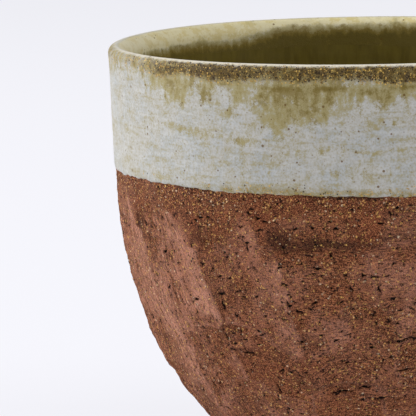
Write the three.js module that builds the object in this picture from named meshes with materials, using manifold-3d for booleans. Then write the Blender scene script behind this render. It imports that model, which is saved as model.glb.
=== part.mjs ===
// Handmade stoneware cup without a handle.
// A wall thrown on the wheel and pared with a knife below its glazed band, on a luted foot ring. A pale
// glaze bands the top of the wall, an olive glaze runs over the lip, and a liner coats the inside.
// Lengths are in millimetres and angles in degrees. +Z is up, and the origin is the middle of the foot's
// resting face. Azimuth 0 faces -Y and grows towards +X.

import * as THREE from "three";
import { mergeVertices } from "three/addons/utils/BufferGeometryUtils.js";
import Module from "manifold-3d";

const wasm = await Module();
wasm.setup();

// The cup
const CUP_HEIGHT = 75;
const CUP_RADIUS = 44.2;
const BASE_RADIUS = 24;
const FLOOR_THICKNESS = 5.5;
const FLOOR_RADIUS = 12;
const FLOOR_DISH = 0.5;
const HEEL_WALL = 5.6;
const LIP_WALL = 2.9;
const LIP_CREST_INSET = 0.9;
const LIP_OUTER_RISE = 1;
const LIP_INNER_RISE = 2.2;

// The foot ring
const FOOT_RADIUS = 23.2;
const FOOT_HEIGHT = 4;
const FOOT_WIDTH = 5;
const FOOT_DRAFT = 0.6;
const FOOT_EDGE = 0.9;

// The glazes. Each coat floats off the clay, and each ends short of its neighbour, by a small gap.
const BAND_COAT = 0.3;
const RIM_COAT = 0.32;
const LINER_COAT = 0.4;
const COAT_GAP = 0.08;
const JOINT_GAP = 0.08;
const GLAZE_ROLL = 1.2;

// How far below the rim the glazes end, and how far each edge waves up and down
const GLAZE_LINE_DEPTH = 21.4;
const GLAZE_LINE_WAVE = 0.35;
const RIM_RUN_DEPTH = 8.5;
const RIM_RUN_WAVE = 3;
const RIM_INSIDE_DEPTH = 5;
const RIM_INSIDE_WAVE = 0.5;

// The knife strokes. The carving starts this far below the glaze line and ends this far over the base.
const CARVE_MARGIN = 2.2;
const CARVE_HEEL = 0.8;
const STROKE_BITE = 0.9;
const STROKE_HOLLOW = 0.14;
const KNIFE_CLEARANCE = 0.8;

// Where the strokes lie round the wall at half of the carved height. They lean as they go down.
const STROKE_AZIMUTHS = [-8, -29, -50, -71, -93, -115, -138, -160, 178, 155, 133, 110, 88, 65, 40, 16];
const STROKE_LEAN = 14;
const LEAN_SWING = 12;

// Facets round the axis and along each stretch of the outline, and points across a knife stroke
const SEGMENTS = 64;
const WALL_STEPS = 14;
const CREST_STEPS = 3;
const LIP_STEPS = 5;
const INNER_STEPS = 10;
const STROKE_POINTS = 5;

// The wall's outer outline: shares of the way from the base to the lip, outwards and upwards.
const WALL_OUTLINE_SHARES = [
  [0, 0],
  [0.21, 0.072],
  [0.405, 0.144],
  [0.57, 0.216],
  [0.818, 0.388],
  [0.93, 0.54],
  [0.972, 0.72],
  [1, 1],
];
// Heights on the outer outline whose inward offset shapes the inside, as shares from base to lip.
const INSIDE_SHARES = [0.85, 0.65, 0.48, 0.34, 0.22, 0.13];

// Three rows of strokes, from under the band to the foot. Heights are shares of the carved height, and
// each pair of depthShares is a place along the stroke and how far the knife has bitten there.
const STROKE_ROWS = [
  {
    topShare: 0.98,
    footShare: 0.42,
    wanderShare: 0.025,
    turnShare: 0,
    depthShares: [[0, -0.05], [0.2, 0.42], [0.215, 0.8], [0.5, 1], [0.8, 0.85], [1, -0.1]],
  },
  {
    topShare: 0.57,
    footShare: 0.16,
    wanderShare: 0.06,
    turnShare: 0.18,
    depthShares: [[0, 0.95], [0.35, 1.15], [0.75, 0.8], [1, -0.1]],
  },
  {
    topShare: 0.33,
    footShare: 0.01,
    wanderShare: 0.03,
    turnShare: 0.3,
    depthShares: [[0, 1], [0.4, 1.1], [0.8, 0.7], [1, -0.1]],
  },
];

// Waves round the cup that shape the edges of the glazes
const RUN_WAVES = [
  { count: 3, weightShare: 0.34, turn: 0.6 },
  { count: 7, weightShare: 0.36, turn: 2.2 },
  { count: 12, weightShare: 0.3, turn: 4.1 },
];
const DIP_WAVES = [
  { count: 1, weightShare: 0.5, turn: 1.9 },
  { count: 4, weightShare: 0.3, turn: 0.4 },
  { count: 9, weightShare: 0.2, turn: 3.3 },
];

const CLAY_LIP_RADIUS = CUP_RADIUS - COAT_GAP - RIM_COAT;
const CLAY_TOP = CUP_HEIGHT - COAT_GAP - RIM_COAT;
const LIP_OUTER_SPRING = CLAY_TOP - LIP_OUTER_RISE;
const LIP_INNER_SPRING = CLAY_TOP - LIP_INNER_RISE;
const FLOOR_HEIGHT = FOOT_HEIGHT + FLOOR_THICKNESS;
const CARVE_TOP = CUP_HEIGHT - GLAZE_LINE_DEPTH - CARVE_MARGIN;
const CARVE_FOOT = FOOT_HEIGHT + CARVE_HEEL;

const clayMaterial = new THREE.MeshStandardMaterial({ color: 0x7a4a38, roughness: 0.92, metalness: 0 });
const footMaterial = new THREE.MeshStandardMaterial({ color: 0x714433, roughness: 0.95, metalness: 0 });
const paleGlazeMaterial = new THREE.MeshStandardMaterial({ color: 0xc4c3b4, roughness: 0.42, metalness: 0 });
const oliveGlazeMaterial = new THREE.MeshStandardMaterial({ color: 0x9c8f62, roughness: 0.35, metalness: 0 });
const linerGlazeMaterial = new THREE.MeshStandardMaterial({ color: 0x8a8258, roughness: 0.3, metalness: 0 });

// A polyline in the half plane through the axis, read by distance along it. x is the radius, y the height.
class Outline {
  constructor(points) {
    this.points = points;
    this.reach = [0];
    for (let i = 1; i < points.length; i++) {
      this.reach.push(this.reach[i - 1] + points[i].distanceTo(points[i - 1]));
    }
    this.length = this.reach[this.reach.length - 1];
    this.normals = points.map((_, i) => {
      const before = points[Math.max(i - 1, 0)];
      const after = points[Math.min(i + 1, points.length - 1)];
      const along = after.clone().sub(before).normalize();
      return new THREE.Vector2(along.y, -along.x);
    });
  }

  // The point at a distance, lifted off the outline on its outer side
  liftedAt(distance, lift) {
    let i = 1;
    while (i < this.reach.length - 1 && this.reach[i] < distance) i++;
    const along = (distance - this.reach[i - 1]) / (this.reach[i] - this.reach[i - 1]);
    const normal = this.normals[i - 1].clone().lerp(this.normals[i], along).normalize();
    return this.points[i - 1].clone().lerp(this.points[i], along).addScaledVector(normal, lift);
  }

  // The distance between two others at which the outline passes a height
  distanceAtHeight(height, from, to) {
    const rising = this.liftedAt(to, 0).y > this.liftedAt(from, 0).y;
    let low = from;
    let high = to;
    for (let halving = 0; halving < 40; halving++) {
      const middle = (low + high) / 2;
      if (this.liftedAt(middle, 0).y > height === rising) high = middle;
      else low = middle;
    }
    return (low + high) / 2;
  }

  // Distances of the outline's own corners between two others, so that a coat bends where the clay does
  cornersBetween(from, to) {
    return this.reach.filter((distance) => distance > from && distance < to);
  }
}

// The outer wall, from the base's edge up to where the lip springs
function outerWallPoints() {
  const across = CLAY_LIP_RADIUS - BASE_RADIUS;
  const up = LIP_OUTER_SPRING - FOOT_HEIGHT;
  const points = WALL_OUTLINE_SHARES.map(
    ([out, rise]) => new THREE.Vector2(BASE_RADIUS + out * across, FOOT_HEIGHT + rise * up),
  );
  return new THREE.SplineCurve(points).getSpacedPoints(WALL_STEPS);
}

// The lip: a tight turn outside its crest and a longer slope inside
function lipPoints() {
  const crest = CLAY_LIP_RADIUS - LIP_CREST_INSET;
  const quarter = Math.PI / 2;
  const slope = LIP_WALL - LIP_CREST_INSET;
  const outside = new THREE.EllipseCurve(crest, LIP_OUTER_SPRING, LIP_CREST_INSET, LIP_OUTER_RISE, 0, quarter);
  const inside = new THREE.EllipseCurve(crest, LIP_INNER_SPRING, slope, LIP_INNER_RISE, quarter, 2 * quarter);
  return [...outside.getPoints(CREST_STEPS), ...inside.getPoints(LIP_STEPS).slice(1)];
}

// The inside, from the lip down to the middle of the floor. The wall thickens towards its heel.
function innerWallPoints(wall) {
  const rise = LIP_INNER_SPRING - FOOT_HEIGHT;
  const inside = INSIDE_SHARES.map((share) => {
    const distance = wall.distanceAtHeight(FOOT_HEIGHT + share * rise, 0, wall.length);
    return wall.liftedAt(distance, -(HEEL_WALL + (LIP_WALL - HEEL_WALL) * Math.sqrt(share)));
  });
  const curve = new THREE.SplineCurve([
    new THREE.Vector2(CLAY_LIP_RADIUS - LIP_WALL, LIP_INNER_SPRING),
    ...inside,
    new THREE.Vector2(FLOOR_RADIUS, FLOOR_HEIGHT + FLOOR_DISH),
    new THREE.Vector2(0, FLOOR_HEIGHT),
  ]);
  return curve.getSpacedPoints(INNER_STEPS);
}

const wall = new Outline(outerWallPoints());
const wallAndLip = new Outline([...wall.points, ...lipPoints().slice(1)]);
const clay = new Outline([...wallAndLip.points, ...innerWallPoints(wall).slice(1)]);

// Revolves a section that may change round the axis. Every section has as many points as the first.
function revolve(sectionAt) {
  const geometry = new THREE.LatheGeometry(sectionAt(0), SEGMENTS);
  const position = geometry.getAttribute("position");
  const count = sectionAt(0).length;
  for (let column = 0; column <= SEGMENTS; column++) {
    const azimuth = (2 * Math.PI * (column % SEGMENTS)) / SEGMENTS;
    sectionAt(azimuth).forEach((point, row) => {
      const x = point.x * Math.sin(azimuth);
      const y = -point.x * Math.cos(azimuth);
      position.setXYZ(column * count + row, x, y, point.y);
    });
  }
  return geometry;
}

function toSolid(geometry) {
  const bare = geometry.clone();
  bare.deleteAttribute("normal");
  bare.deleteAttribute("uv");
  const merged = mergeVertices(bare);
  return new wasm.Manifold(
    new wasm.Mesh({
      numProp: 3,
      vertProperties: new Float32Array(merged.getAttribute("position").array),
      triVerts: new Uint32Array(merged.index.array),
    }),
  );
}

function toGeometry(solid) {
  const mesh = solid.getMesh();
  const geometry = new THREE.BufferGeometry();
  geometry.setAttribute("position", new THREE.BufferAttribute(mesh.vertProperties, mesh.numProp));
  geometry.setIndex(new THREE.BufferAttribute(mesh.triVerts, 1));
  geometry.computeVertexNormals();
  return geometry;
}

function named(name, geometry, material) {
  const mesh = new THREE.Mesh(geometry, material);
  mesh.name = name;
  return mesh;
}

// Joins closed rings of points, each with its inner half first and its outer half back again, into one
// closed slab.
function loft(rings) {
  const count = rings[0].length;
  const last = count * (rings.length - 1);
  const index = [];
  for (let ring = 0; ring < rings.length - 1; ring++) {
    for (let i = 0; i < count; i++) {
      const a = ring * count + i;
      const b = ring * count + ((i + 1) % count);
      index.push(a, b, b + count, a, b + count, a + count);
    }
  }
  for (let i = 0; i < count / 2 - 1; i++) {
    const across = count - 1 - i;
    index.push(last + i, last + i + 1, last + across - 1, last + i, last + across - 1, last + across);
    index.push(i, across - 1, i + 1, i, across, across - 1);
  }
  const geometry = new THREE.BufferGeometry().setFromPoints(rings.flat());
  geometry.setIndex(index);
  return geometry;
}

// Half the width of a flat cut that bites this deep into the round wall
function halfChord(depth) {
  return Math.sqrt(2 * CUP_RADIUS * depth);
}

// The knife's section at one place on the wall: its inner edge, hollowed a little, and its back edge
function knifeRing({ azimuth, height, depth }) {
  const turn = THREE.MathUtils.degToRad(azimuth);
  const outward = new THREE.Vector3(Math.sin(turn), -Math.cos(turn), 0);
  const sideways = new THREE.Vector3(Math.cos(turn), Math.sin(turn), 0);
  const distance = wall.distanceAtHeight(height, 0, wall.length);
  const reach = halfChord(STROKE_BITE + KNIFE_CLEARANCE);
  const facet = halfChord(STROKE_BITE);
  const edge = Array.from({ length: STROKE_POINTS }, (_, i) => {
    const side = reach * ((2 * i) / (STROKE_POINTS - 1) - 1);
    const hollow = STROKE_HOLLOW * (1 - (side / facet) ** 2);
    const point = wall.liftedAt(distance, -depth - hollow);
    return outward.clone().multiplyScalar(point.x).addScaledVector(sideways, side).setZ(point.y);
  });
  const away = outward.clone().multiplyScalar(STROKE_BITE + STROKE_HOLLOW + KNIFE_CLEARANCE + Math.abs(depth));
  const back = edge.map((point) => point.clone().add(away)).reverse();
  return [...edge, ...back];
}

// A number from -1 to 1 that differs from stroke to stroke
function wander(column, salt) {
  return Math.sin(2.4 * column + salt);
}

// One row of strokes round the wall
function strokes(row, salt) {
  const carved = CARVE_TOP - CARVE_FOOT;
  return STROKE_AZIMUTHS.map((middle, column) => {
    const top = row.topShare + row.wanderShare * wander(column, salt);
    const lean = STROKE_LEAN - LEAN_SWING * Math.sin(THREE.MathUtils.degToRad(middle + 20));
    const spacing = 360 / STROKE_AZIMUTHS.length;
    const stations = row.depthShares.map(([along, bite]) => {
      const share = top + (row.footShare - top) * along;
      return {
        azimuth: middle + lean * (0.5 - share) + row.turnShare * spacing * wander(column, salt + 1),
        height: CARVE_FOOT + carved * share,
        depth: STROKE_BITE * bite,
      };
    });
    return toSolid(loft(stations.map(knifeRing)));
  });
}

// The thrown clay, pared row by row
function clayBody() {
  const section = [new THREE.Vector2(0, FOOT_HEIGHT), ...clay.points];
  let body = toSolid(revolve(() => section));
  STROKE_ROWS.forEach((row, i) => {
    for (const stroke of strokes(row, i)) body = body.subtract(stroke);
  });
  return named("clay_body", toGeometry(body), clayMaterial);
}

// The foot ring: sides drawn in a little towards the table, with rounded lower edges
function footRing() {
  const outer = FOOT_RADIUS - FOOT_DRAFT;
  const inner = FOOT_RADIUS - FOOT_WIDTH + FOOT_DRAFT;
  const quarter = Math.PI / 2;
  const edge = (x, from) =>
    new THREE.EllipseCurve(x, FOOT_EDGE, FOOT_EDGE, FOOT_EDGE, from, from + quarter).getPoints(3);
  const top = new THREE.Vector2(FOOT_RADIUS - FOOT_WIDTH, FOOT_HEIGHT);
  const section = [
    top,
    ...edge(inner + FOOT_EDGE, 2 * quarter),
    ...edge(outer - FOOT_EDGE, 3 * quarter),
    new THREE.Vector2(FOOT_RADIUS, FOOT_HEIGHT),
    top,
  ];
  return named("foot_ring", revolve(() => section), footMaterial);
}

function wave(waves, azimuth) {
  return waves.reduce((sum, w) => sum + w.weightShare * Math.sin(w.count * azimuth + w.turn), 0);
}

// Distances along the clay at which the glazes end, for a wave height from -1 to 1
function glazeLine(waveHeight) {
  return clay.distanceAtHeight(CUP_HEIGHT - GLAZE_LINE_DEPTH + GLAZE_LINE_WAVE * waveHeight, 0, wall.length);
}

function rimRun(waveHeight) {
  return clay.distanceAtHeight(CUP_HEIGHT - RIM_RUN_DEPTH + RIM_RUN_WAVE * waveHeight, 0, wall.length);
}

function rimInside(waveHeight) {
  const height = CUP_HEIGHT - RIM_INSIDE_DEPTH + RIM_INSIDE_WAVE * waveHeight;
  return clay.distanceAtHeight(height, wallAndLip.length, clay.length);
}

// The closed section of a coat that passes through these distances along the clay. The coat's
// thickness may change on the way.
function coatSection(distances, thickness) {
  const face = distances.map((distance) => clay.liftedAt(distance, COAT_GAP + thickness(distance)));
  const back = distances.map((distance) => clay.liftedAt(distance, COAT_GAP));
  return [...back.reverse(), ...face, back[0]];
}

// The pale band, whose lower edge thins out in a soft roll
function bandGlaze() {
  const corners = clay.cornersBetween(glazeLine(1) + GLAZE_ROLL, rimRun(-1));
  const section = (azimuth) => {
    const from = glazeLine(wave(DIP_WAVES, azimuth));
    const to = rimRun(wave(RUN_WAVES, azimuth)) - JOINT_GAP / 2;
    const thickness = (distance) => BAND_COAT * Math.sqrt(Math.min(1, 0.1 + (distance - from) / GLAZE_ROLL));
    return coatSection([from, from + GLAZE_ROLL / 3, from + GLAZE_ROLL, ...corners, to], thickness);
  };
  return named("band_glaze", revolve(section), paleGlazeMaterial);
}

// The olive coat over the lip, whose outer edge runs down in tongues
function rimGlaze() {
  const corners = clay.cornersBetween(rimRun(1), rimInside(1));
  const section = (azimuth) => {
    const from = rimRun(wave(RUN_WAVES, azimuth)) + JOINT_GAP / 2;
    const to = rimInside(wave(DIP_WAVES, azimuth)) - JOINT_GAP / 2;
    return coatSection([from, ...corners, to], () => RIM_COAT);
  };
  return named("rim_glaze", revolve(section), oliveGlazeMaterial);
}

// The liner, from the rim coat down to the middle of the floor
function linerGlaze() {
  const corners = clay.cornersBetween(rimInside(-1), clay.length);
  const section = (azimuth) => {
    const from = rimInside(wave(DIP_WAVES, azimuth)) + JOINT_GAP / 2;
    return coatSection([from, ...corners, clay.length], () => LINER_COAT);
  };
  return named("liner_glaze", revolve(section), linerGlazeMaterial);
}

const cup = new THREE.Group();
cup.add(clayBody(), footRing(), bandGlaze(), rimGlaze(), linerGlaze());

export default cup;
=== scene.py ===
"""A handmade stoneware cup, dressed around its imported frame.

The bare clay is a stack of rings, pared with a knife in rows of leaning strokes, pitted and torn, with grog
grains standing out of it. A pale glaze bands the wall, an olive glaze runs over the lip, and a liner coats
the inside. Lengths are in metres. Azimuth 0 faces -Y and grows towards +X.
"""

import logging
import math
from collections.abc import Callable, Sequence
from dataclasses import dataclass, field
from enum import Enum
from itertools import product

import bmesh
import bpy
import numpy as np
from mathutils import Euler, Matrix, Vector


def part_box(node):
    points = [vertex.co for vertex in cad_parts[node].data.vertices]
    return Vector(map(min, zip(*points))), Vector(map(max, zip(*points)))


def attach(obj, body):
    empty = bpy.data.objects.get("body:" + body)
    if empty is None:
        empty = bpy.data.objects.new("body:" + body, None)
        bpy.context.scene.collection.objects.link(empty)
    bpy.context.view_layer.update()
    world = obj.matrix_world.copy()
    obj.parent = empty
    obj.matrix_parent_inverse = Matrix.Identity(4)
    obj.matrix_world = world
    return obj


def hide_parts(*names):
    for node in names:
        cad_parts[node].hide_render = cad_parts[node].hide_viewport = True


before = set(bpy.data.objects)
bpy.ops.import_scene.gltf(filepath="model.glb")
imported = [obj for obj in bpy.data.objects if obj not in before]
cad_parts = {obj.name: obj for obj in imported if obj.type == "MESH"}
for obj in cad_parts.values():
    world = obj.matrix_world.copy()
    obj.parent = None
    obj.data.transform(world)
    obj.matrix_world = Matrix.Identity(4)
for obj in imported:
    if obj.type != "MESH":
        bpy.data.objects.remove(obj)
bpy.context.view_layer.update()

LOG = logging.getLogger("cup")
MM = 0.001
TURN = 2 * math.pi
WELD = 1e-7
SLACK = 1e-6
SAMPLES = 800
OUTLINE_POINTS = 240
LIP_POINTS = 14
SPLINE_STEPS = 60
CARVE_MARGIN = 2.2 * MM
CARVE_HEEL = 0.8 * MM
RIM_RISE = 0.4 * MM
RISE_LOW, RISE_TOP, RISE_FAR = 56 * MM, 75 * MM, 40 * MM
DISPLAY_KNEE, DISPLAY_SLOPE, DISPLAY_OFFSET, DISPLAY_POWER = 0.04045, 12.92, 0.055, 2.4
STRIDES = (0x9E3779B97F4A7C15, 0xC2B2AE3D27D4EB4F, 0x165667B19E3779F9)
SEED_STRIDE, SEED_START, STIR = 0x5851F42D, 0x4C957F2D, 0xBF58476D1CE4E5B9
LATTICE_START = 512.0

Array = np.ndarray
Colour = tuple[float, float, float, float]
Socket = bpy.types.NodeSocket
Node = bpy.types.Node
Tree = bpy.types.NodeTree
Material = bpy.types.Material
Mesh = bpy.types.Mesh
Piece = bpy.types.Object
Edge = bmesh.types.BMEdge
Layer = bmesh.types.BMLayerItem
Placing = Callable[[Array, Array, Array], Array]
Layering = Callable[[Array, Array, Array], dict[str, Array]]
Edging = Callable[[Array], Array]


def paint(red: int, green: int, blue: int) -> Colour:
    """Turns display values from 0 to 255 into a linear colour.

    Args:
        red: Display red.
        green: Display green.
        blue: Display blue.

    Returns:
        The linear colour with an alpha of 1.
    """
    shares = np.array([red, green, blue]) / 255
    curve = ((shares + DISPLAY_OFFSET) / (1 + DISPLAY_OFFSET)) ** DISPLAY_POWER
    linear = np.where(shares <= DISPLAY_KNEE, shares / DISPLAY_SLOPE, curve)
    return (*linear.tolist(), 1.0)


def eased(values: Array, low: float | Array, high: float | Array) -> Array:
    """Eases values from 0 at low to 1 at high."""
    share = np.clip((values - low) / (high - low), 0.0, 1.0)
    return share * share * (3 - 2 * share)


def ring_points(azimuth: Array, section: Array) -> Array:
    """Turns radius and height, in a last axis of two, into a place in space at each azimuth."""
    radius = section[..., 0]
    return np.stack([radius * np.sin(azimuth), -radius * np.cos(azimuth), section[..., 1]], axis=-1)


def turned_from(azimuth: Array, degrees: float) -> Array:
    """Gives each azimuth's turn from another, in degrees from -180 to 180."""
    return (np.degrees(azimuth) - degrees + 180) % 360 - 180


def bell(azimuth: Array, middle: float, width: float, fall: int = 2) -> Array:
    """Gives 1 at a middle azimuth, falling off to both sides, and flatter on top for a higher fall."""
    return np.exp(-(turned_from(azimuth, middle) / width) ** fall)


def fired(points: Array) -> Array:
    """Lifts places on the far side of the rim a little, as the firing left it."""
    rise = RIM_RISE * eased(points[:, 1], 0.0, RISE_FAR) * eased(points[:, 2], RISE_LOW, RISE_TOP)
    return points + np.stack([0 * rise, 0 * rise, rise], axis=-1)


def read_off(distance: Array, reach: Array, table: Array) -> Array:
    """Reads a table of two columns at distances along a line."""
    return np.stack([np.interp(distance, reach, table[:, k]) for k in (0, 1)], axis=-1)


@dataclass(frozen=True)
class LatticeNoise:
    """Repeatable noise from -1 to 1 in space.

    Attributes:
        seed: Tells one noise from another.
    """

    seed: int

    def corner(self, cell: Array) -> Array:
        """Gives each lattice corner its own value.

        Args:
            cell: Whole numbers, in a last axis of three.

        Returns:
            One value from -1 to 1 for each corner.
        """
        whole = cell.astype(np.uint64)
        key = np.full(cell.shape[:-1], self.seed * SEED_STRIDE + SEED_START, np.uint64)
        for axis, stride in enumerate(STRIDES):
            key ^= whole[..., axis] * np.uint64(stride)
        key ^= key >> np.uint64(29)
        key *= np.uint64(STIR)
        key ^= key >> np.uint64(32)
        return (key >> np.uint64(40)).astype(np.float64) / float(1 << 23) - 1.0

    def at(self, points: Array, size: float | Sequence[float]) -> Array:
        """Reads the noise.

        Args:
            points: Places in space, in a last axis of three.
            size: The size of one lump, or one size for each axis.

        Returns:
            The noise at each place.
        """
        place = points / np.asarray(size) + LATTICE_START
        cell = np.floor(place).astype(np.int64)
        part = place - cell
        ease = part ** 3 * (part * (part * 6 - 15) + 10)
        total = np.zeros(points.shape[:-1])
        for step in product((0, 1), repeat=3):
            weight = np.prod(np.where(np.array(step) == 1, ease, 1 - ease), axis=-1)
            total += weight * self.corner(cell + np.array(step))
        return total

    def layered(self, points: Array, size: float, layers: int) -> Array:
        """Adds layers of the noise, each half the size and strength of the one before."""
        parts = [LatticeNoise(self.seed + i).at(points, size / 2 ** i) / 2 ** i for i in range(layers)]
        return np.sum(parts, axis=0)


@dataclass
class Outline:
    """A polyline in the half plane through the axis, read by distance along it.

    Attributes:
        points: Radius and height of each corner.
        reach: Distance of each corner along the line.
        normals: Outward normal at each corner.
    """

    points: Array
    reach: Array = field(init=False)
    normals: Array = field(init=False)

    def __post_init__(self) -> None:
        """Measures the line and finds its normals."""
        steps = np.linalg.norm(np.diff(self.points, axis=0), axis=1)
        self.reach = np.concatenate([[0.0], np.cumsum(steps)])
        along = np.gradient(self.points, axis=0)
        along /= np.linalg.norm(along, axis=1)[:, None]
        self.normals = np.stack([along[:, 1], -along[:, 0]], axis=1)

    @property
    def length(self) -> float:
        """The length of the whole line."""
        return float(self.reach[-1])

    def normal(self, distance: Array) -> Array:
        """Gives the outward normal at each distance."""
        normal = read_off(distance, self.reach, self.normals)
        return normal / np.linalg.norm(normal, axis=-1, keepdims=True)

    def lifted(self, distance: Array, lift: Array | float) -> Array:
        """Gives radius and height at distances along the line, lifted off its outer side."""
        spot = read_off(distance, self.reach, self.points)
        return spot + self.normal(distance) * np.asarray(lift)[..., None]

    def distance_at_height(self, height: Array | float, low: float = 0.0) -> Array:
        """Finds where the line passes a height.

        Args:
            height: The heights to find.
            low: The distance from which the line only rises or only falls.

        Returns:
            The distances.
        """
        inside = np.linspace(low, self.length, SAMPLES)
        heights = np.interp(inside, self.reach, self.points[:, 1])
        order = np.argsort(heights)
        return np.interp(height, heights[order], inside[order])

    def nearest(self, point: Array, low: float, high: float) -> float:
        """Finds the distance between low and high that lies nearest to a point."""
        inside = np.linspace(low, high, SAMPLES)
        gaps = np.linalg.norm(self.lifted(inside, 0.0) - point, axis=-1)
        return float(inside[np.argmin(gaps)])


def spline(corners: Array, count: int) -> Array:
    """Draws a smooth curve through corners.

    Args:
        corners: Radius and height of each corner.
        count: How many evenly spaced points the curve gets.

    Returns:
        The curve's points.
    """
    padded = np.concatenate([corners[:1], corners, corners[-1:]])
    share = np.linspace(0, 1, SPLINE_STEPS, endpoint=False)[:, None]
    pieces = []
    for before, start, end, after in zip(padded, padded[1:], padded[2:], padded[3:]):
        pull_in, pull_out = (end - before) / 2, (after - start) / 2
        cubic = 2 * (start - end) + pull_in + pull_out
        square = 3 * (end - start) - 2 * pull_in - pull_out
        pieces.append(cubic * share ** 3 + square * share ** 2 + pull_in * share + start)
    dense = np.concatenate([*pieces, corners[-1:]])
    reach = np.concatenate([[0.0], np.cumsum(np.linalg.norm(np.diff(dense, axis=0), axis=1))])
    return read_off(np.linspace(0, reach[-1], count), reach, dense)


@dataclass
class CupForm:
    """The thrown form under the paring and the glazes.

    Attributes:
        height: Height of the glazed cup.
        radius: Outer radius of the glazed lip.
        foot_height: Height of the foot ring under the base.
        base_radius: Radius of the flat base.
        coat: Thickness of the lip's glaze with its gap, which the clay lies below.
        crest_inset: How far in from the outside the lip is highest.
        outer_rise: Height of the lip's outer turn.
        inner_rise: Height of the lip's inner slope.
        lip_wall: Wall thickness at the lip.
        heel_wall: Wall thickness at the heel.
        floor_rise: Height of the floor's middle over the base.
        floor_radius: Radius of the dished floor.
        floor_dish: How far the floor sinks to its middle.
        outline_shares: The outside, as shares of the way from base to lip, outwards and upwards.
        inside_shares: Heights on the outside whose inward offset shapes the inside.
        wall: The outside, from the base's edge to where the lip springs.
        clay: The whole outline, up the outside, over the lip and down to the floor's middle.
        crest: Distance of the lip's crest along the clay.
        lip_end: Distance along the clay at which the lip's inner slope ends.
    """

    height: float
    radius: float
    foot_height: float
    base_radius: float = 24 * MM
    coat: float = 0.4 * MM
    crest_inset: float = 0.9 * MM
    outer_rise: float = 1.0 * MM
    inner_rise: float = 2.2 * MM
    lip_wall: float = 2.9 * MM
    heel_wall: float = 5.6 * MM
    floor_rise: float = 5.5 * MM
    floor_radius: float = 12 * MM
    floor_dish: float = 0.5 * MM
    outline_shares: tuple[tuple[float, float], ...] = (
        (0, 0), (0.225, 0.072), (0.438, 0.144), (0.588, 0.216), (0.816, 0.388), (0.93, 0.54), (0.972, 0.72),
        (1, 1),
    )
    inside_shares: tuple[float, ...] = (0.85, 0.65, 0.48, 0.34, 0.22, 0.13)
    wall: Outline = field(init=False)
    clay: Outline = field(init=False)
    crest: float = field(init=False)
    lip_end: float = field(init=False)

    def __post_init__(self) -> None:
        """Draws the outline."""
        edge, top = self.radius - self.coat, self.height - self.coat
        start = np.array([self.base_radius, self.foot_height])
        span = np.array([edge, top - self.outer_rise]) - start
        self.wall = Outline(spline(start + np.array(self.outline_shares) * span, OUTLINE_POINTS))
        crest = Outline(np.concatenate([self.wall.points, self.lip_outside(edge, top)]))
        lip = Outline(np.concatenate([crest.points, self.lip_inside(edge, top)]))
        self.crest, self.lip_end = crest.length, lip.length
        share = np.array(self.inside_shares)
        rise = self.foot_height + share * (top - self.inner_rise - self.foot_height)
        distance = self.wall.distance_at_height(rise)
        thickness = self.heel_wall + (self.lip_wall - self.heel_wall) * np.sqrt(share)
        floor = self.foot_height + self.floor_rise
        inside = np.concatenate([
            lip.points[-1:],
            self.wall.lifted(distance, -thickness),
            [[self.floor_radius, floor + self.floor_dish], [0.0, floor]],
        ])
        self.clay = Outline(np.concatenate([lip.points, spline(inside, OUTLINE_POINTS)[1:]]))

    def lip_outside(self, edge: float, top: float) -> Array:
        """Draws the tight turn from the outside to the crest."""
        turn = np.linspace(0, math.pi / 2, LIP_POINTS)[1:]
        across = edge - self.crest_inset * (1 - np.cos(turn))
        return np.stack([across, top - self.outer_rise * (1 - np.sin(turn))], axis=1)

    def lip_inside(self, edge: float, top: float) -> Array:
        """Draws the longer slope from the crest to the inside."""
        turn = np.linspace(0, math.pi / 2, LIP_POINTS)[1:]
        across = edge - self.crest_inset - (self.lip_wall - self.crest_inset) * np.sin(turn)
        return np.stack([across, top - self.inner_rise * (1 - np.cos(turn))], axis=1)

    def space_at(self, azimuth: Array, distance: Array, lift: Array | float = 0.0) -> Array:
        """Gives places in space on the clay's outline, or lifted off it."""
        return ring_points(azimuth, self.clay.lifted(distance, lift))

    def wall_space(self, azimuth: Array, distance: Array, lift: Array | float = 0.0) -> Array:
        """Gives places in space on the thrown wall, or lifted off it."""
        return ring_points(azimuth, self.wall.lifted(distance, lift))


@dataclass(frozen=True)
class StrokeRow:
    """One row of knife strokes round the wall.

    Attributes:
        top: Where the strokes start, as a share of the carved height.
        foot: Where they end.
        wander: How far their tops differ from stroke to stroke.
        turn: How far the row is turned against the others, as a share of the strokes' spacing.
        press: How hard the knife pressed, which scales the strokes' hollow, burnishing and painted sheen.
        bow: How far a stroke's sides start after its middle, as a share of its length.
        bites: Places along the stroke, and how deep the knife has bitten there.
    """

    top: float
    foot: float
    wander: float
    turn: float
    press: float
    bow: float
    bites: tuple[tuple[float, float], ...]


@dataclass
class Cut:
    """What the knife has left at each place.

    Attributes:
        depth: Depth below the thrown wall.
        ridge: How close the place is to a ridge between strokes, from 0 to 1.
        burnish: How smooth and pale the clay is, partly burnished and partly painted sheen.
        across: Distance from the middle of its stroke.
        along: Distance along its stroke.
    """

    depth: Array
    ridge: Array
    burnish: Array
    across: Array
    along: Array


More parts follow.
